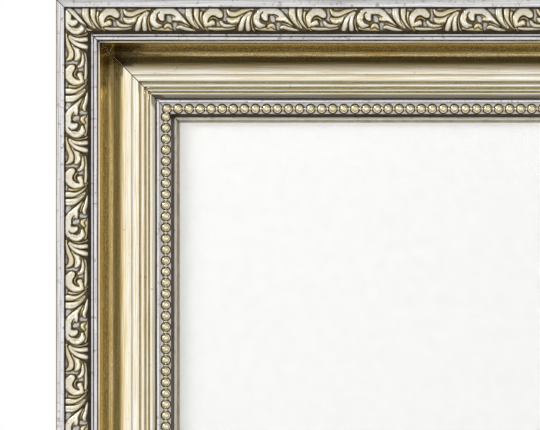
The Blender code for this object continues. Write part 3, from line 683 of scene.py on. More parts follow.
# Every point is (along, across, half width) in millimetres
LEAVES = {
    "first blade": [
        [(2.1, 0.6, 1.5), (2.1, 3.4, 1.55), (3.1, 5.8, 1.3), (4.9, 8.3, 0.9), (6.9, 10.4, 0.3)],
    ],
    "second blade": [
        [(6.1, 0.8, 1.15), (6.2, 3.8, 1.2), (6.9, 6.2, 1.0), (8.5, 8.7, 0.85), (10.4, 11.0, 0.3)],
    ],
    "thin blade": [[(8.7, 2.2, 0.4), (8.4, 5.4, 0.6), (9.8, 8.3, 0.65), (12.2, 11.9, 0.25)]],
    "rim under the first curl": [
        [
            (12.6, 10.7, 0.4), (15.5, 11.0, 0.5), (19.0, 11.0, 0.45), (23.0, 10.9, 0.4),
            (26.0, 10.5, 0.2),
        ],
    ],
    "first curl": [
        [
            (11.2, 8.9, 0.9), (10.9, 6.4, 1.4), (11.7, 3.8, 2.0), (13.8, 2.1, 2.3), (16.0, 2.3, 2.45),
            (18.1, 3.5, 1.8), (18.9, 4.4, 1.0),
        ],
        [(11.6, 8.6, 0.9), (13.2, 8.2, 1.2), (14.6, 7.6, 0.95), (15.3, 8.4, 0.5)],
    ],
    "stem in the first curl": [
        [(13.0, 6.5, 0.0), (14.1, 5.3, 0.05), (15.5, 5.1, 0.1), (16.9, 5.8, 0.1), (17.4, 6.6, 0.0)],
    ],
    "low leaf": [
        [(18.9, 7.3, 0.5), (19.8, 8.6, 0.7), (21.8, 9.4, 0.65), (24.5, 9.3, 0.5), (27.0, 8.5, 0.2)],
    ],
    "under leaf": [
        [
            (22.5, 5.7, 0.5), (24.1, 6.6, 1.2), (26.5, 6.7, 1.4), (28.4, 5.6, 1.1), (30.0, 4.1, 0.6),
            (31.6, 3.0, 0.3),
        ],
    ],
    "upper leaf": [
        [
            (22.4, 0.9, 0.4), (22.9, 2.1, 0.8), (24.3, 3.1, 1.2), (26.7, 3.2, 1.15), (28.5, 2.5, 1.0),
            (30.7, 1.6, 0.85), (36.1, 0.6, 0.25),
        ],
    ],
    "fan": [
        [(35.0, 2.0, 0.4), (32.8, 3.9, 0.9), (31.0, 6.4, 1.1), (29.9, 9.1, 1.15), (29.3, 11.3, 0.9)],
        [(35.6, 2.9, 0.4), (33.9, 5.0, 0.8), (33.2, 8.0, 1.0), (33.4, 11.3, 0.9)],
    ],
    "thin rib": [
        [(37.3, 2.1, 0.35), (35.6, 5.2, 0.3), (35.2, 8.3, 0.3), (35.8, 10.5, 0.25), (36.9, 12.2, 0.2)],
    ],
    "rim under the second curl": [
        [(37.5, 10.7, 0.3), (40.6, 11.0, 0.55), (44.4, 11.2, 0.6), (47.6, 11.6, 0.4)],
    ],
    "second curl": [
        [
            (42.0, 9.3, 0.45), (39.4, 9.0, 1.2), (37.7, 6.8, 1.4), (38.0, 4.4, 1.5), (39.8, 2.3, 1.6),
            (43.0, 1.3, 1.6), (46.4, 1.5, 1.8), (49.5, 3.1, 1.9), (51.9, 5.2, 1.5), (54.5, 7.2, 0.9),
            (56.9, 9.1, 0.4),
        ],
        [(42.7, 1.8, 1.2), (42.0, 3.8, 1.5), (42.4, 5.4, 1.1), (43.3, 6.2, 0.4)],
        [(48.5, 5.9, 0.5), (50.3, 5.9, 0.8), (52.2, 6.1, 0.7), (54.5, 7.2, 0.6)],
    ],
    "strip beside the tail": [
        [(51.6, 8.2, 0.0), (54.0, 8.9, 0.2), (56.5, 10.0, 0.2), (58.8, 11.3, 0.0)],
    ],
    "bud": [[(44.0, 10.1, 0.4), (45.3, 9.1, 0.7), (46.6, 9.4, 0.65), (47.4, 10.6, 0.3)]],
    "end leaf": [
        [
            (50.6, 10.4, 0.4), (52.1, 10.0, 0.7), (54.5, 10.8, 0.65), (57.5, 11.4, 0.5),
            (59.8, 11.9, 0.2),
        ],
    ],
}
# Lines that sink into the leaves they cross
CUTS = [
    [
        (12.2, 7.5, 0.28), (12.7, 5.8, 0.32), (14.0, 4.4, 0.36), (15.4, 4.2, 0.36), (17.2, 5.2, 0.34),
        (18.8, 5.6, 0.36), (20.1, 4.9, 0.34), (20.4, 3.6, 0.3), (20.0, 2.2, 0.24), (18.9, 0.6, 0.16),
    ],
    [(13.1, 6.2, 0.16), (14.5, 5.8, 0.2), (15.9, 6.1, 0.26), (16.3, 7.5, 0.28), (16.2, 9.2, 0.24)],
    [(12.0, 9.6, 0.12), (13.8, 9.9, 0.16), (16.4, 9.7, 0.12)],
    [(9.4, 4.0, 0.2), (10.3, 2.2, 0.28), (12.6, 0.2, 0.2)],
    [(3.9, 0.8, 0.32), (4.1, 4.0, 0.28), (4.7, 7.2, 0.2), (6.1, 9.7, 0.16)],
    [(7.8, 1.1, 0.28), (7.7, 4.4, 0.26), (8.3, 7.4, 0.22), (10.2, 10.5, 0.18)],
    [(1.6, 1.0, 0.08), (1.7, 3.8, 0.1), (2.6, 6.4, 0.1), (4.4, 9.0, 0.08)],
    [
        (22.0, 1.4, 0.2), (22.5, 3.4, 0.26), (24.1, 4.6, 0.26), (26.9, 4.6, 0.24), (30.2, 3.3, 0.24),
        (33.0, 1.9, 0.2), (36.0, 1.2, 0.14),
    ],
    [(24.2, 1.7, 0.08), (26.6, 1.9, 0.1), (29.2, 1.2, 0.08)],
    [(20.4, 6.3, 0.2), (21.2, 7.6, 0.24), (22.8, 8.3, 0.22), (25.2, 8.4, 0.2), (27.4, 7.6, 0.16)],
    [(19.4, 10.0, 0.12), (22.0, 10.3, 0.15), (25.0, 10.0, 0.15), (27.0, 9.2, 0.1)],
    [(23.6, 5.9, 0.08), (25.6, 5.9, 0.1), (28.0, 5.0, 0.08)],
    [(29.7, 4.6, 0.2), (29.0, 6.8, 0.3), (27.9, 9.4, 0.34), (26.6, 11.6, 0.26)],
    [(34.4, 2.9, 0.1), (32.8, 4.7, 0.14), (32.1, 6.6, 0.26), (31.5, 8.8, 0.3), (31.7, 11.6, 0.26)],
    [(36.2, 2.2, 0.28), (34.9, 4.8, 0.28), (34.6, 7.6, 0.28), (35.2, 10.8, 0.3)],
    [(37.6, 1.8, 0.24), (36.2, 4.0, 0.2), (35.7, 6.8, 0.22), (36.1, 9.6, 0.26), (37.0, 11.6, 0.26)],
    [(38.3, 7.4, 0.08), (38.2, 5.0, 0.1), (39.4, 2.9, 0.08)],
    [
        (41.2, 2.0, 0.26), (40.0, 3.4, 0.32), (40.1, 5.3, 0.34), (41.3, 6.8, 0.34), (43.0, 7.2, 0.32),
        (44.0, 6.6, 0.3), (44.3, 5.0, 0.34), (45.0, 3.8, 0.36), (46.8, 3.5, 0.34), (48.4, 4.0, 0.3),
        (49.6, 4.8, 0.2),
    ],
    [
        (47.7, 7.3, 0.26), (50.2, 7.4, 0.28), (52.2, 7.0, 0.24), (54.2, 8.0, 0.22), (56.6, 9.4, 0.22),
        (58.6, 10.9, 0.2),
    ],
    [(51.6, 2.2, 0.14), (53.4, 4.2, 0.22), (55.2, 6.4, 0.26), (57.2, 8.8, 0.26), (59.2, 11.0, 0.2)],
    [(42.8, 7.5, 0.2), (43.1, 8.8, 0.24), (42.2, 9.9, 0.26), (40.6, 10.1, 0.16)],
    [(43.6, 9.2, 0.16), (44.7, 8.0, 0.2), (46.4, 7.8, 0.22), (47.8, 8.8, 0.26), (48.2, 10.4, 0.24)],
    [(34.7, 1.7, 0.18), (36.3, 1.9, 0.2), (38.1, 2.1, 0.18)],
]
# Where bare silver ground shows between the leaves
BARE = [
    [(9.0, 0.4, 0.7), (10.2, 0.5, 0.7)],
    [(17.7, 6.8, 0.8), (17.8, 8.6, 1.0)],
    [(21.2, 0.6, 0.5), (21.2, 3.4, 0.6), (21.2, 6.0, 0.8)],
    [(24.6, 0.3, 0.4), (28.6, 0.2, 0.3)],
    [(46.0, 4.8, 0.9), (46.6, 6.2, 1.2)],
    [(49.4, 8.6, 0.9), (49.3, 10.8, 0.9)],
    [(51.6, 0.6, 0.6), (53.6, 1.8, 1.2)],
]
print("leaves:", len(LEAVES), "cuts:", len(CUTS), "bare spots:", len(BARE))

# %% [markdown]
# The strokes become the relief of one repeat on a fine grid, as the height of each spot. A leaf
# swells up with a rounded shoulder. A bump pattern could show this, but the shape would then be
# flat at the silhouette and lost in another program, so the mesh itself takes these heights. The
# same pass notes where the dark wash lies: between the leaves, around each one and in the cuts. It
# adds painted shade too: on the rim of each leaf and along the inner edge of the strip.
# %% The relief of the repeat
GRID = 0.1
# In millimetres, how much the strokes of a leaf are widened, and how wide its rounded shoulder and the
# line around it are. The widths of the cuts are multiplied by the last value
FULLER, SHOULDER, OUTLINE, CUT_SPREAD = 0.36, 0.75, 0.42, 1.3
OUTLINE_STEEPNESS, CUT_EDGE, CUT_WASH = 2.2, 0.25, 1.5
# The share of its height that a leaf loses in a line or a cut
SINK = 0.8
# The leaves lie at three levels in turn, each this much lower than the one before
LEVELS, LEVEL_DROP = 3, 0.1
# How much umber lies on bare ground, in the gaps between leaves and on the rim of a leaf, and how wide
# that rim is. The dark on the rim is also painted shade on the leaf's sloping shoulder
GROUND_WASH, GAP_WASH, RIM_WASH_AND_SHADE, RIM_WIDTH = 0.15, 0.45, 0.5, 0.4
# Painted shade: the strip grows darker towards its inner edge, less so on the leaves
SHADE_FROM, SHADE_WIDTH, SHADE_ON_LEAF, SHADE_BESIDE = 11.0, 1.2, 0.25, 0.5


def smooth_path(points, per_span=14):
    """A Catmull-Rom curve through the points, which may carry a width as well."""
    control = np.array(points, float)
    control = np.vstack([2 * control[0] - control[1], control, 2 * control[-1] - control[-2]])
    t = np.linspace(0, 1, per_span, endpoint=False)[:, None]
    spans = []
    for a, b, c, d in zip(control, control[1:], control[2:], control[3:]):
        bend = (2 * a - 5 * b + 4 * c - d) * t**2 + (3 * b - a - 3 * c + d) * t**3
        spans.append(0.5 * (2 * b + (c - a) * t + bend))
    return np.vstack(spans + [control[-2:-1]])


along_grid = np.arange(0, REPEAT, GRID)
across_grid = np.linspace(0, SCROLL_ACROSS, round(SCROLL_ACROSS / GRID) + 1)
spot_along, spot_across = np.meshgrid(along_grid, across_grid, indexing="ij")


def stroke_depth(points, fuller=0.0, spread=1.0):
    """How far inside a stroke each spot lies, in millimetres; outside it is below zero."""
    deepest = np.full_like(spot_along, -REPEAT)
    for along, across, width in smooth_path(points):
        gap = np.abs(spot_along - along % REPEAT)
        gap = np.minimum(gap, REPEAT - gap)
        inside = width * spread + fuller - np.hypot(gap, spot_across - across)
        deepest = np.maximum(deepest, inside)
    return deepest


def blurred(field):
    """Mean over three spots each way, round the repeat along and held at the edges across."""
    total = sum(np.roll(field, shift, 0) for shift in (-1, 0, 1))
    padded = np.pad(total, ((0, 0), (1, 1)), mode="edge")
    return sum(padded[:, i : i + field.shape[1]] for i in range(3)) / 9


relief = np.zeros_like(spot_along)
covered = np.zeros_like(relief)
wash_and_painted_shade = np.full_like(relief, GROUND_WASH)
for number, strokes in enumerate(LEAVES.values()):
    depth = np.max([stroke_depth(points, FULLER) for points in strokes], axis=0)
    inside = depth > 0
    around = np.clip(OUTLINE_STEEPNESS * (1 + depth / OUTLINE), 0, 1) * ~inside
    body = np.sqrt(1 - (1 - np.clip(depth / SHOULDER, 0, 1)) ** 2)
    body *= 1 - LEVEL_DROP * (number % LEVELS)
    relief = np.where(inside, body, relief * (1 - SINK * around))
    covered = np.where(inside, 1, covered)
    rim = np.clip(1 - depth / RIM_WIDTH, 0, 1) * RIM_WASH_AND_SHADE
    wash_and_painted_shade = np.where(inside, rim, np.maximum(wash_and_painted_shade, around))
bare = np.max([stroke_depth(points) for points in BARE], axis=0) > 0
leaf_cover = np.where(bare, covered, 1.0)
wash_and_painted_shade = np.maximum(wash_and_painted_shade, GAP_WASH * (1 - covered) * ~bare)
for points in CUTS:
    cut = np.clip(stroke_depth(points, spread=CUT_SPREAD) / CUT_EDGE, 0, 1)
    relief = relief * (1 - SINK * np.sqrt(cut))
    wash_and_painted_shade = np.maximum(wash_and_painted_shade, np.clip(cut * CUT_WASH, 0, 1))
# Painted shade along the inner edge of the strip, laid into the wash
shade = np.clip((spot_across - SHADE_FROM) / SHADE_WIDTH, 0, 1)
shade *= np.where(covered > 0.5, SHADE_ON_LEAF, SHADE_BESIDE)
relief = blurred(relief)
wash_and_painted_shade = np.clip(blurred(wash_and_painted_shade) + blurred(shade), 0, 1)
print("scroll tile", relief.shape, "leaf share", round(float(leaf_cover.mean()), 2))

# %% [markdown]
# Each strip is a fine sheet that follows the crowned bed, raised by the relief of the repeat, with
# sides and an underside so that it is a closed solid. Where the repeat starts on the top and left
# rails is read from the photograph. Three values ride on the points, and the finish reads them: how
# much leaf covers the spot, how much dark wash and painted shade lie in it, and how high it stands in
# the relief, which makes the high places pale, partly as wear and partly as painted highlight.
# %% Scroll strips
STRIP_STEP = 0.3 * MM
SEAT_GAP, GROUND, LEAF_RISE = 0.3, 0.35, 1.5
# At its mitred ends a strip is lower and dark
SCROLL_JOINT, JOINT_STEEPNESS, JOINT_DROP = 0.6 * MM, 1.5, 0.6
TOP_PHASE, LEFT_PHASE = 13.6, 54.8
BLOTCH = 1.3 * MM
GOLD_TONES = [(0.32, "#E4D298"), (0.45, "#FBF4DC"), (0.62, "#FFFEF8")]
# Deeper gold on the low slopes of the relief, paler gold on its high places: partly wear, partly painted
# shade and painted highlight
SLOPE_AND_SHADE_TONES = [(0.15, "#9C8A62"), (0.6, "#E6CC84")]
SILVER_TONES = [(0.35, "#BFBAB4"), (0.65, "#E6E3E0")]


def antique_gold():
    """Gold leaf on composition, darkened with umber and wiped.

    The high places are pale and shine, their slopes are deeper gold, and every hollow is dark and dull.
    The pale tops are partly wear and partly painted highlight; the deeper slopes, the leaf rims and the
    inner edge are partly painted shade.
    """
    made, tree, shader, where = surface("antiqued_composition_leaf")
    cover = add(tree, "ShaderNodeAttribute", out="Fac", attribute_name="leaf_cover")
    wash = add(tree, "ShaderNodeAttribute", out="Fac", attribute_name="wash_and_painted_shade")
    rub_and_highlight = add(tree, "ShaderNodeAttribute", out="Fac", attribute_name="rub_and_highlight")
    blotch = patches(tree, where, BLOTCH, 3.0)
    gold = add(tree, "ShaderNodeValToRGB", {0: blotch}, stops=GOLD_TONES)
    slope_and_shade = add(tree, "ShaderNodeValToRGB", {0: rub_and_highlight}, stops=SLOPE_AND_SHADE_TONES)
    high = add(tree, "ShaderNodeMapRange", {"Value": rub_and_highlight, "From Min": 0.5, "From Max": 0.96})
    gold = add(tree, "ShaderNodeMix", {0: high, 6: slope_and_shade, 7: gold}, 2, data_type="RGBA")
    ground = add(tree, "ShaderNodeValToRGB", {0: blotch}, stops=SILVER_TONES)
    tone = add(tree, "ShaderNodeMix", {0: cover, 6: ground, 7: gold}, 2, data_type="RGBA")
    tone = add(tree, "ShaderNodeMix", {0: wash, 6: tone, 7: linear("#15110B")}, 2, data_type="RGBA")
    shine = add(tree, "ShaderNodeMapRange", {"Value": wash, "To Min": 0.58, "To Max": 0.0})
    rough = add(tree, "ShaderNodeMapRange", {"Value": wash, "To Min": 0.28, "To Max": 0.75})
    fill(tree, shader, {"Base Color": tone, "Metallic": shine, "Roughness": rough})
    return made


composition_leaf = antique_gold()


def tile_value(field, along, across):
    """The repeat's value at any place, read between its grid spots."""
    i = np.mod(along, REPEAT) / GRID
    low = np.floor(i).astype(int)
    part = i - low
    low, high = low % field.shape[0], (low + 1) % field.shape[0]
    j = np.clip(across / SCROLL_ACROSS * (field.shape[1] - 1), 0, field.shape[1] - 1.001)
    left = np.floor(j).astype(int)
    side = j - left
    near = field[low, left] * (1 - part) + field[high, left] * part
    far = field[low, left + 1] * (1 - part) + field[high, left + 1] * part
    return near * (1 - side) + far * side


def scroll_strip(side):
    _, half_length, _ = SIDES[side]
    rows = round(2 * half_length / STRIP_STEP)
    columns = round((SCROLL_ACROSS - 2 * SEAT_GAP) * MM / STRIP_STEP)
    across = np.linspace(SEAT_GAP, SCROLL_ACROSS - SEAT_GAP, columns + 1)
    from_edge = (across + BED_OUT) * MM
    ends = mitre_end(half_length, from_edge)
    along = np.outer(np.linspace(-1, 1, rows + 1), ends)
    joint = np.clip(JOINT_STEEPNESS * (1 - (ends - np.abs(along)) / SCROLL_JOINT), 0, 1)
    if side == "left":
        phase = (along - half_length) / MM + LEFT_PHASE
    else:
        phase = (along + half_length) / MM - TOP_PHASE
    spread = np.broadcast_to(across, along.shape)
    raised = np.clip(tile_value(relief, phase, spread), 0, None)
    base = bed_height(across + BED_OUT) + SEAT_GAP
    height = base + GROUND + LEAF_RISE * raised * (1 - JOINT_DROP * joint)
    top = np.stack([along, BACK_Y - height * MM, np.broadcast_to(-from_edge, along.shape)], 2)
    under = top[:, [0, columns]].copy()
    under[:, :, 1] = BACK_Y - base[[0, columns]] * MM
    points = np.concatenate([top.reshape(-1, 3), under.reshape(-1, 3)])
    wide = columns + 1
    first = (rows + 1) * wide
    faces = []
    for i in range(rows):
        a, b = i * wide, (i + 1) * wide
        faces += [(a + j, b + j, b + j + 1, a + j + 1) for j in range(columns)]
        near, far = first + 2 * i, first + 2 * i + 2
        faces.append((near, far, b, a))
        faces.append((a + columns, b + columns, far + 1, near + 1))
        faces.append((near, near + 1, far + 1, far))
    faces.append(tuple(range(wide)) + (first + 1, first))
    last = rows * wide
    faces.append(tuple(range(last, last + wide))[::-1] + (first + 2 * rows, first + 2 * rows + 1))
    mesh = mesh_from(side + "_leaf_scroll", points, faces)
    underside = np.ones(2 * (rows + 1))
    wash = np.maximum(tile_value(wash_and_painted_shade, phase, spread), joint)
    cover = tile_value(leaf_cover, phase, spread)
    for name, values in (("leaf_cover", cover), ("wash_and_painted_shade", wash), ("rub_and_highlight", raised)):
        point_values(mesh, name, np.append(values.reshape(-1), underside))
    mesh.transform(side_matrix(side))
    smooth(mesh, 70)
    made = piece(side + "_leaf_scroll", mesh, composition_leaf)
    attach(made, "frame")
    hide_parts(side + "_scroll_strip")
    return made


for side in SIDES:
    print(side, "scroll faces:", len(scroll_strip(side).data.polygons))

# %% [markdown]
# Pearls, screws and bumpers are round, as if they came off a lathe, and the small ones repeat. A
# Screw modifier could turn them, but a few BMesh calls spin an outline into a closed mesh at once.
# Geometry Nodes puts what repeats in its places, on a helper object. The result is kept as a plain
# mesh and the helper goes, so that each piece is an ordinary object that can ride on its body.
# %% Helpers for turned and repeated shapes
SPUN_TOUCH = 0.0001 * MM


def mesh_of(name, builder):
    """The mesh of a BMesh, which is then freed."""
    mesh = bpy.data.meshes.new(name)
    builder.to_mesh(mesh)
    builder.free()
    return mesh


def turned(name, profile, steps):
    """A closed solid of revolution about Y, from (radius, y) points that start and end on the axis."""
    builder = bmesh.new()
    verts = [builder.verts.new((radius, y, 0)) for radius, y in profile]
    outline = verts + [builder.edges.new(pair) for pair in zip(verts, verts[1:])]
    whole = {"axis": (0, 1, 0), "cent": (0, 0, 0), "angle": 2 * math.pi}
    bmesh.ops.spin(builder, geom=outline, steps=steps, **whole)
    bmesh.ops.remove_doubles(builder, verts=builder.verts, dist=SPUN_TOUCH)
    bmesh.ops.recalc_face_normals(builder, faces=builder.faces)
    mesh = mesh_of(name, builder)
    smooth(mesh, 60)
    return mesh


def plain_mesh(name, made):
    """The evaluated mesh of a helper object, which is then removed."""
    graph = bpy.context.evaluated_depsgraph_get()
    mesh = bpy.data.meshes.new_from_object(made.evaluated_get(graph), depsgraph=graph)
    bpy.data.objects.remove(made, do_unlink=True)
    mesh.name = name
    return mesh


def node_tree(name, **kinds):
    """A new Geometry Nodes tree with these inputs, and the identifier of each."""
    tree = bpy.data.node_groups.new(name, "GeometryNodeTree")
    tree.interface.new_socket("Geometry", in_out="OUTPUT", socket_type="NodeSocketGeometry")
    sockets = {}
    for socket, kind in kinds.items():
        made = tree.interface.new_socket(socket, in_out="INPUT", socket_type="NodeSocket" + kind)
        sockets[socket] = made.identifier
    return tree, sockets


def grown(name, points, tree, values):
    """The plain mesh that a node tree makes from these points and inputs."""
    host = linked(name + "_host", mesh_from(name + "_host", points, []))
    modifier = host.modifiers.new("grow", "NODES")
    modifier.node_group = tree
    for identifier, value in values.items():
        modifier[identifier] = value
    return plain_mesh(name, host)


# %% [markdown]
# Pearls repeat a few hundred times, which is work for Geometry Nodes: a line of points along the side,
# one pearl and one small link put on each point, realised into a mesh. A pearl has only a few dozen
# faces and smooth shading does the rest. Where each side starts is read from the photograph.
# %% Pearl strips
PEARL_PITCH, PEARL_RADIUS, LINK_RADIUS = 5.9 * MM, 2.25 * MM, 1.1 * MM
PEARL_FOOT, LINK_FOOT, LINK_STRETCH = 2.85 * MM, 1.3 * MM, 0.6
PEARL_MIDDLE = 57.75 * MM
PEARL_LIFT, FOOT_DEPTH = 0.95 * MM, 0.9 * MM
# Below 1 the pearls are flatter on top than a ball, as pressed and rubbed ones are
PEARL_FLATNESS = 0.67
# The rings and steps of a pearl, and how far above its widest place the lowest ring lies, in radians
PEARL_RINGS, PEARL_STEPS, LOWEST_RING = 5, 12, 0.05
# The wash, which also paints the shade at a pearl's foot, starts at this share of its height, and
# thickens downwards over the second share
WASH_AND_SHADE_TOP, WASH_FADE = 0.55, 0.4
PEARL_BLOTCH = 1.6 * MM
# How far past its first mitre each side's first pearl lies, in pitches
FIRST_PEARL = {"top": 0.1, "right": 0.0, "bottom": 0.0, "left": 0.28}


def pearl_leaf():
    """Gold leaf on the pearls: small bright mirrors, each with a dark ring of wash and painted shade at
    its foot.
    """
    made, tree, shader, where = surface("pearl_gold_leaf")
    blotch = patches(tree, where, PEARL_BLOTCH, 6.0)
    wash = add(tree, "ShaderNodeAttribute", out="Fac", attribute_name="wash_and_painted_shade")
    gold = add(tree, "ShaderNodeValToRGB", {0: blotch}, stops=[(0.3, "#EFD996"), (0.6, "#FFF9E0")])
    tone = add(tree, "ShaderNodeMix", {0: wash, 6: gold, 7: linear("#2A211A")}, 2, data_type="RGBA")
    shine = add(tree, "ShaderNodeMapRange", {"Value": wash, "To Min": 0.75, "To Max": 0.0})
    fill(tree, shader, {"Base Color": tone, "Metallic": shine, "Roughness": 0.18})
    return made


gold_pearl = pearl_leaf()


def dome(name, radius, foot, stretch):
    """A pearl that swells towards -Y on a spreading foot, with the wash and painted shade lying on the
    foot.
    """
    swell = [(0, -radius)]
    for a in np.linspace(QUARTER, LOWEST_RING, PEARL_RINGS)[1:]:
        swell.append((radius * math.cos(a) ** PEARL_FLATNESS, -radius * math.sin(a) ** PEARL_FLATNESS))
    mesh = turned(name, swell + [(foot, FOOT_DEPTH), (0, FOOT_DEPTH)], PEARL_STEPS)
    mesh.transform(Matrix.Diagonal((stretch, 1, 1, 1)))
    heights = np.array([-vert.co.y / radius for vert in mesh.vertices])
    point_values(mesh, "wash_and_painted_shade", np.clip((WASH_AND_SHADE_TOP - heights) / WASH_FADE, 0, 1))
    return linked(name, mesh)


def pearl_tree(pearl, link):
    """Points along X, a pearl on each, a link half a pitch on, all one mesh."""
    tree, sockets = node_tree("string_of_pearls", Pearls="Int", Pitch="Float", Start="Vector")
    given = tree.nodes.new("NodeGroupInput").outputs
    step = add(tree, "ShaderNodeCombineXYZ", {"X": given["Pitch"]})
    line = {"Count": given["Pearls"], "Start Location": given["Start"], "Offset": step}
    points = add(tree, "GeometryNodeMeshLine", line, mode="OFFSET")
    half = add(tree, "ShaderNodeVectorMath", {0: step, "Scale": 0.5}, operation="SCALE")
    between = add(tree, "GeometryNodeSetPosition", {"Geometry": points, "Offset": half})
    joined = tree.nodes.new("GeometryNodeJoinGeometry")
    for shape, places in ((pearl, points), (link, between)):
        shown = add(tree, "GeometryNodeObjectInfo", {"Object": shape}, "Geometry")
        string = add(tree, "GeometryNodeInstanceOnPoints", {"Points": places, "Instance": shown})
        tree.links.new(string, joined.inputs[0])
    real = add(tree, "GeometryNodeRealizeInstances", {0: joined.outputs[0]})
    coated = add(tree, "GeometryNodeSetMaterial", {"Geometry": real, "Material": gold_pearl})
    add(tree, "NodeGroupOutput", {0: coated})
    return tree, sockets


pearl_shape = dome("pearl_shape", PEARL_RADIUS, PEARL_FOOT, 1.0)
link_shape = dome("link_shape", LINK_RADIUS, LINK_FOOT, LINK_STRETCH)
pearls, pearl_inputs = pearl_tree(pearl_shape, link_shape)
for side, (_, half_length, _) in SIDES.items():
    run = 2 * (half_length - PEARL_MIDDLE)
    count = round(run / PEARL_PITCH)
    pitch = run / count
    first = FIRST_PEARL[side] * pitch - run / 2
    start = (first, BACK_Y - PEARL_BED * MM - PEARL_LIFT, -PEARL_MIDDLE)
    sizes = {"Pearls": count, "Pitch": pitch, "Start": start}
    values = {pearl_inputs[name]: value for name, value in sizes.items()}
    mesh = grown(side + "_pearls", [], pearls, values)
    mesh.transform(side_matrix(side))
    made = piece(side + "_pearls", mesh)
    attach(made, "frame")
    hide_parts(side + "_pearl_strip")
    print(side, "pearls:", count, "faces:", len(mesh.polygons))
for shape in (pearl_shape, link_shape):
    bpy.data.objects.remove(shape, do_unlink=True)

# %% [markdown]
# Behind the glass lies a plain white card, and behind that a pressed fibre board. A sheet this flat
# needs no new shape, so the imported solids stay, and only their finish changes. Window glass is nearly
# invisible from the front: a thin reflection over near full transparency shows it, and it casts
# almost no shadow on the card.
# %% Glass, card and backing board
GLASS_WAVE = 167 * MM
CARD_CLOUD = 6 * MM
# The fibres of hardboard are finer, and are drawn as coarse as this so that they show
BOARD_FIBRE, BOARD_CLOUD, BOARD_GRIT = 1.2 * MM, 60 * MM, 0.15 * MM
BOARD_TONES = [(0.3, "#6B4A2E"), (0.5, "#8A633F"), (0.72, "#A27A50")]


def dress(nodes, material):
    """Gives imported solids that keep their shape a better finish."""
    for name in nodes:
        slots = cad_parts[name].data.materials
        slots.clear()
        slots.append(material)


# Float glass: flat and clear, with a faint green in it
glass, tree, shader, where = surface("clear_float_glass")
ripple = add(tree, "ShaderNodeTexNoise", {"Vector": where.outputs["Object"], "Scale": 1 / GLASS_WAVE})
tint = add(tree, "ShaderNodeValToRGB", {0: ripple}, stops=[(0.3, "#F2F7F5"), (0.7, "#F8FBFA")])
fill(tree, shader, {"Base Color": tint, "Roughness": 0.03, "Alpha": 0.05})
dress(["glass_pane"], glass)
# Uncoated card: a dull, even white
dress(["picture_sheet"], matt("uncoated_white_card", "#F6F6F5", "#FAFAF9", CARD_CLOUD, 0.9, 0.02))


def hardboard():
    """Pressed wood fibre: brown, with short darker fibres and a fine pressed grain."""
    made, tree, shader, where = surface("pressed_hardboard")
    fibre = patches(tree, where, BOARD_FIBRE, 2.0)
    cloud = patches(tree, where, BOARD_CLOUD, 7.0)
    tone = add(tree, "ShaderNodeValToRGB", {0: fibre}, stops=BOARD_TONES)
    tone = add(tree, "ShaderNodeMix", {0: cloud, 6: tone, 7: linear("#7C5837")}, 2, data_type="RGBA")
    grit = add(tree, "ShaderNodeBump", {"Strength": 0.4, "Distance": BOARD_GRIT, "Height": fibre})
    fill(tree, shader, {"Base Color": tone, "Roughness": 0.7, "Normal": grit})
    return made


dress(["backing_board"], hardboard())
print("glass, card and board dressed")

# %% [markdown]
# The steel at the back is stamped from strip and zinc plated, which leaves a soft grey metal with
# faint cloudy patches. Stamping rounds the edges a little: each packed plate is copied, its loose
# triangles merged, and a small bevel run along its sharp edges, so that it catches the light.
# %% Plates, straps and corner nails
STAMPED_EDGE, PLATE_TOUCH = 0.2 * MM, 0.001 * MM
GLOSS_CLOUD = 0.1
FLAT, CORNER = math.radians(1), math.radians(60)


def steel(name, dark, pale, gloss, cloud_size):
    made, tree, shader, where = surface(name)
    cloud = patches(tree, where, cloud_size, 4.0)
    tone = add(tree, "ShaderNodeValToRGB", {0: cloud}, stops=[(0.35, dark), (0.65, pale)])
    uneven = {"Value": cloud, "To Min": gloss - GLOSS_CLOUD, "To Max": gloss + GLOSS_CLOUD}
    rough = add(tree, "ShaderNodeMapRange", uneven)
    fill(tree, shader, {"Base Color": tone, "Roughness": rough, "Metallic": 1.0})
    return made


# Zinc on steel: pale grey with a soft shine. Its crystals are finer than the clouds drawn here
zinc = steel("zinc_plated_steel", "#A3A7AA", "#C3C7CA", 0.36, 3 * MM)
# Rolled strip: darker and a little shinier
bright_steel = steel("rolled_bright_steel", "#8C8F93", "#AEB1B5", 0.3, 2 * MM)


def softened(node, body):
    """A copy of a packed plate with its sharp edges rounded over."""
    builder = bmesh.new()
    builder.from_mesh(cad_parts[node].data)
    bmesh.ops.remove_doubles(builder, verts=builder.verts, dist=PLATE_TOUCH)
    bmesh.ops.dissolve_limit(builder, angle_limit=FLAT, verts=builder.verts, edges=builder.edges)
    joins = [edge for edge in builder.edges if len(edge.link_faces) == 2]
    sharp = [edge for edge in joins if edge.calc_face_angle() > CORNER]
    rounding = {"segments": 2, "profile": 0.5, "affect": "EDGES", "clamp_overlap": True}
    bmesh.ops.bevel(builder, geom=sharp, offset=STAMPED_EDGE, **rounding)
    mesh = mesh_of(node + "_plated", builder)
    smooth(mesh, 35)
    made = piece(node + "_plated", mesh, zinc)
    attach(made, body)
    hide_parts(node)


buttons = [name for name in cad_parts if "_turn_button_" in name and "screw" not in name]
for name in buttons:
    softened(name, name)
for hand in ("left", "right"):
    softened(hand + "_hanger_strap", "frame")
nails = [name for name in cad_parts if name.endswith("_v_nail")]
dress(nails, bright_steel)
print("turn buttons:", len(buttons), "corner nails:", len(nails))

# %% [markdown]
# The rings are bent from round wire and butt together at the straight bar. A curve with a round
# bevel is the direct way to make wire, and its mesh is taken from the evaluated curve.
# %% Hanger rings
RING_HALF, RING_CORNER, WIRE = 8.0 * MM, 2.5 * MM, 1.2 * MM
RING_SHOULDER, RING_ARCH = 4.0 * MM, 8.0 * MM


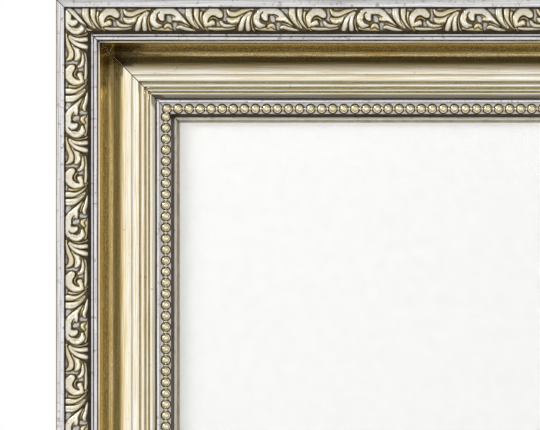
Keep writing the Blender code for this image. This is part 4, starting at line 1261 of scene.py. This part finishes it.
def ring_path():
    right = arc((RING_HALF - RING_CORNER, RING_CORNER), RING_CORNER, -QUARTER, 0, 8)
    half_turn = arc((0, 0), 1, 0, math.pi, 32)
    arch = [(RING_HALF * c, RING_SHOULDER + RING_ARCH * s) for c, s in half_turn]
    return right + arch + [(-x, z) for x, z in reversed(right)]


for hand in ("left", "right"):
    low, high = (Vector(corner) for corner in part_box(hand + "_hanger_ring"))
    bar = Vector(((low.x + high.x) / 2, (low.y + high.y) / 2, low.z + WIRE))
    wire = bpy.data.curves.new(hand + "_ring_wire", "CURVE")
    wire.dimensions = "3D"
    wire.bevel_depth = WIRE
    wire.bevel_resolution = 5
    path = ring_path()
    spline = wire.splines.new("POLY")
    spline.points.add(len(path) - 1)
    for point, (x, z) in zip(spline.points, path):
        point.co = (bar.x + x, bar.y, bar.z + z, 1)
    spline.use_cyclic_u = True
    mesh = plain_mesh(hand + "_wire_ring", linked(hand + "_ring_wire", wire))
    mesh.shade_smooth()
    made = piece(hand + "_wire_ring", mesh, zinc)
    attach(made, hand + "_hanger_ring")
    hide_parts(hand + "_hanger_ring")
    print(hand, "ring faces:", len(mesh.polygons))

# %% [markdown]
# Ten pan head screws hold the plates. The cross recess is punched into the head, so one screw is
# turned and its recess cut with a Boolean, and Geometry Nodes then puts a copy at each place, read
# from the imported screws.
# %% Screws
HEAD_RADIUS, HEAD_HEIGHT, HEAD_DOME = 3.0 * MM, 1.8 * MM, 0.75
SHANK_RADIUS, SHANK_TIP = 1.5 * MM, 2.5 * MM
SCREW_STEPS, HEAD_RINGS = 20, 7
RECESS_LENGTH, RECESS_WIDTH, RECESS_DEPTH = 3.4 * MM, 0.75 * MM, 1.1 * MM


def screw_shape(name, length):
    """A screw whose head tops out at the origin and whose shank points to -Y."""
    turns = np.linspace(0, QUARTER, HEAD_RINGS)
    fall = HEAD_HEIGHT * HEAD_DOME
    profile = [(HEAD_RADIUS * math.sin(a), fall * (math.cos(a) - 1)) for a in turns]
    profile += [(HEAD_RADIUS, -HEAD_HEIGHT), (SHANK_RADIUS, -HEAD_HEIGHT)]
    profile += [(SHANK_RADIUS, SHANK_TIP - length), (0, -length)]
    made = linked(name, turned(name, profile, SCREW_STEPS))
    builder = bmesh.new()
    for size in ((RECESS_LENGTH, RECESS_WIDTH), (RECESS_WIDTH, RECESS_LENGTH)):
        spread = Matrix.Diagonal((size[0], 2 * RECESS_DEPTH, size[1], 1))
        bmesh.ops.create_cube(builder, size=1, matrix=spread)
    punch = linked(name + "_punch", mesh_of(name + "_punch", builder))
    cut = made.modifiers.new("recess", "BOOLEAN")
    cut.object = punch
    cut.use_self = True
    mesh = plain_mesh(name, made)
    bpy.data.objects.remove(punch, do_unlink=True)
    return linked(name, mesh)


def screw_tree(shape):
    """A copy of the shape on each point of the given geometry."""
    tree, sockets = node_tree("screws_on_points", Geometry="Geometry", Size="Float")
    given = tree.nodes.new("NodeGroupInput").outputs
    shown = add(tree, "GeometryNodeObjectInfo", {"Object": shape}, "Geometry")
    spots = {"Points": given["Geometry"], "Instance": shown, "Scale": given["Size"]}
    placed = add(tree, "GeometryNodeInstanceOnPoints", spots)
    real = add(tree, "GeometryNodeRealizeInstances", {0: placed})
    coated = add(tree, "GeometryNodeSetMaterial", {"Geometry": real, "Material": zinc})
    add(tree, "NodeGroupOutput", {0: coated})
    return tree, sockets


for kind in ("turn_button_screw", "hanger"):
    names = [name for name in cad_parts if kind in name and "screw" in name]
    boxes = [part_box(name) for name in names]
    tops = [((low[0] + high[0]) / 2, high[1], (low[2] + high[2]) / 2) for low, high in boxes]
    shape = screw_shape(kind + "_shape", boxes[0][1][1] - boxes[0][0][1])
    tree, screw_inputs = screw_tree(shape)
    mesh = grown(kind + "_pan_heads", tops, tree, {screw_inputs["Size"]: 1.0})
    bpy.data.objects.remove(shape, do_unlink=True)
    mesh.set_sharp_from_angle(angle=math.radians(35))
    made = piece(kind + "_pan_heads", mesh)
    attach(made, "frame")
    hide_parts(*names)
    print(kind, "screws:", len(names), "faces:", len(mesh.polygons))

# %% [markdown]
# Two rubber buttons keep the bottom of the frame off the wall. They are moulded, with a rounded rim
# and a slight dish, so a turned profile is enough.
# %% Wall bumpers
BUMPER_RIM, BUMPER_DISH, BUMPER_STEPS = 1.2 * MM, 0.3 * MM, 40
# Moulded rubber: dull and dark grey
rubber = matt("moulded_grey_rubber", "#55585A", "#64676A", 2 * MM, 0.85, 0.15)
for hand in ("left", "right"):
    low, high = (Vector(corner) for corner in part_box(hand + "_wall_bumper"))
    radius, height = (high.x - low.x) / 2, high.y - low.y
    rim = arc((radius - BUMPER_RIM, height - BUMPER_RIM), BUMPER_RIM, QUARTER, 0, 8)
    profile = [(0, height - BUMPER_DISH)] + rim + [(radius, 0), (0, 0)]
    mesh = turned(hand + "_rubber_button", profile, BUMPER_STEPS)
    mesh.transform(Matrix.Translation(((low.x + high.x) / 2, low.y, (low.z + high.z) / 2)))
    made = piece(hand + "_rubber_button", mesh, rubber)
    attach(made, "frame")
    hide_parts(hand + "_wall_bumper")
    print(hand, "bumper radius in mm:", round(radius / MM, 2))
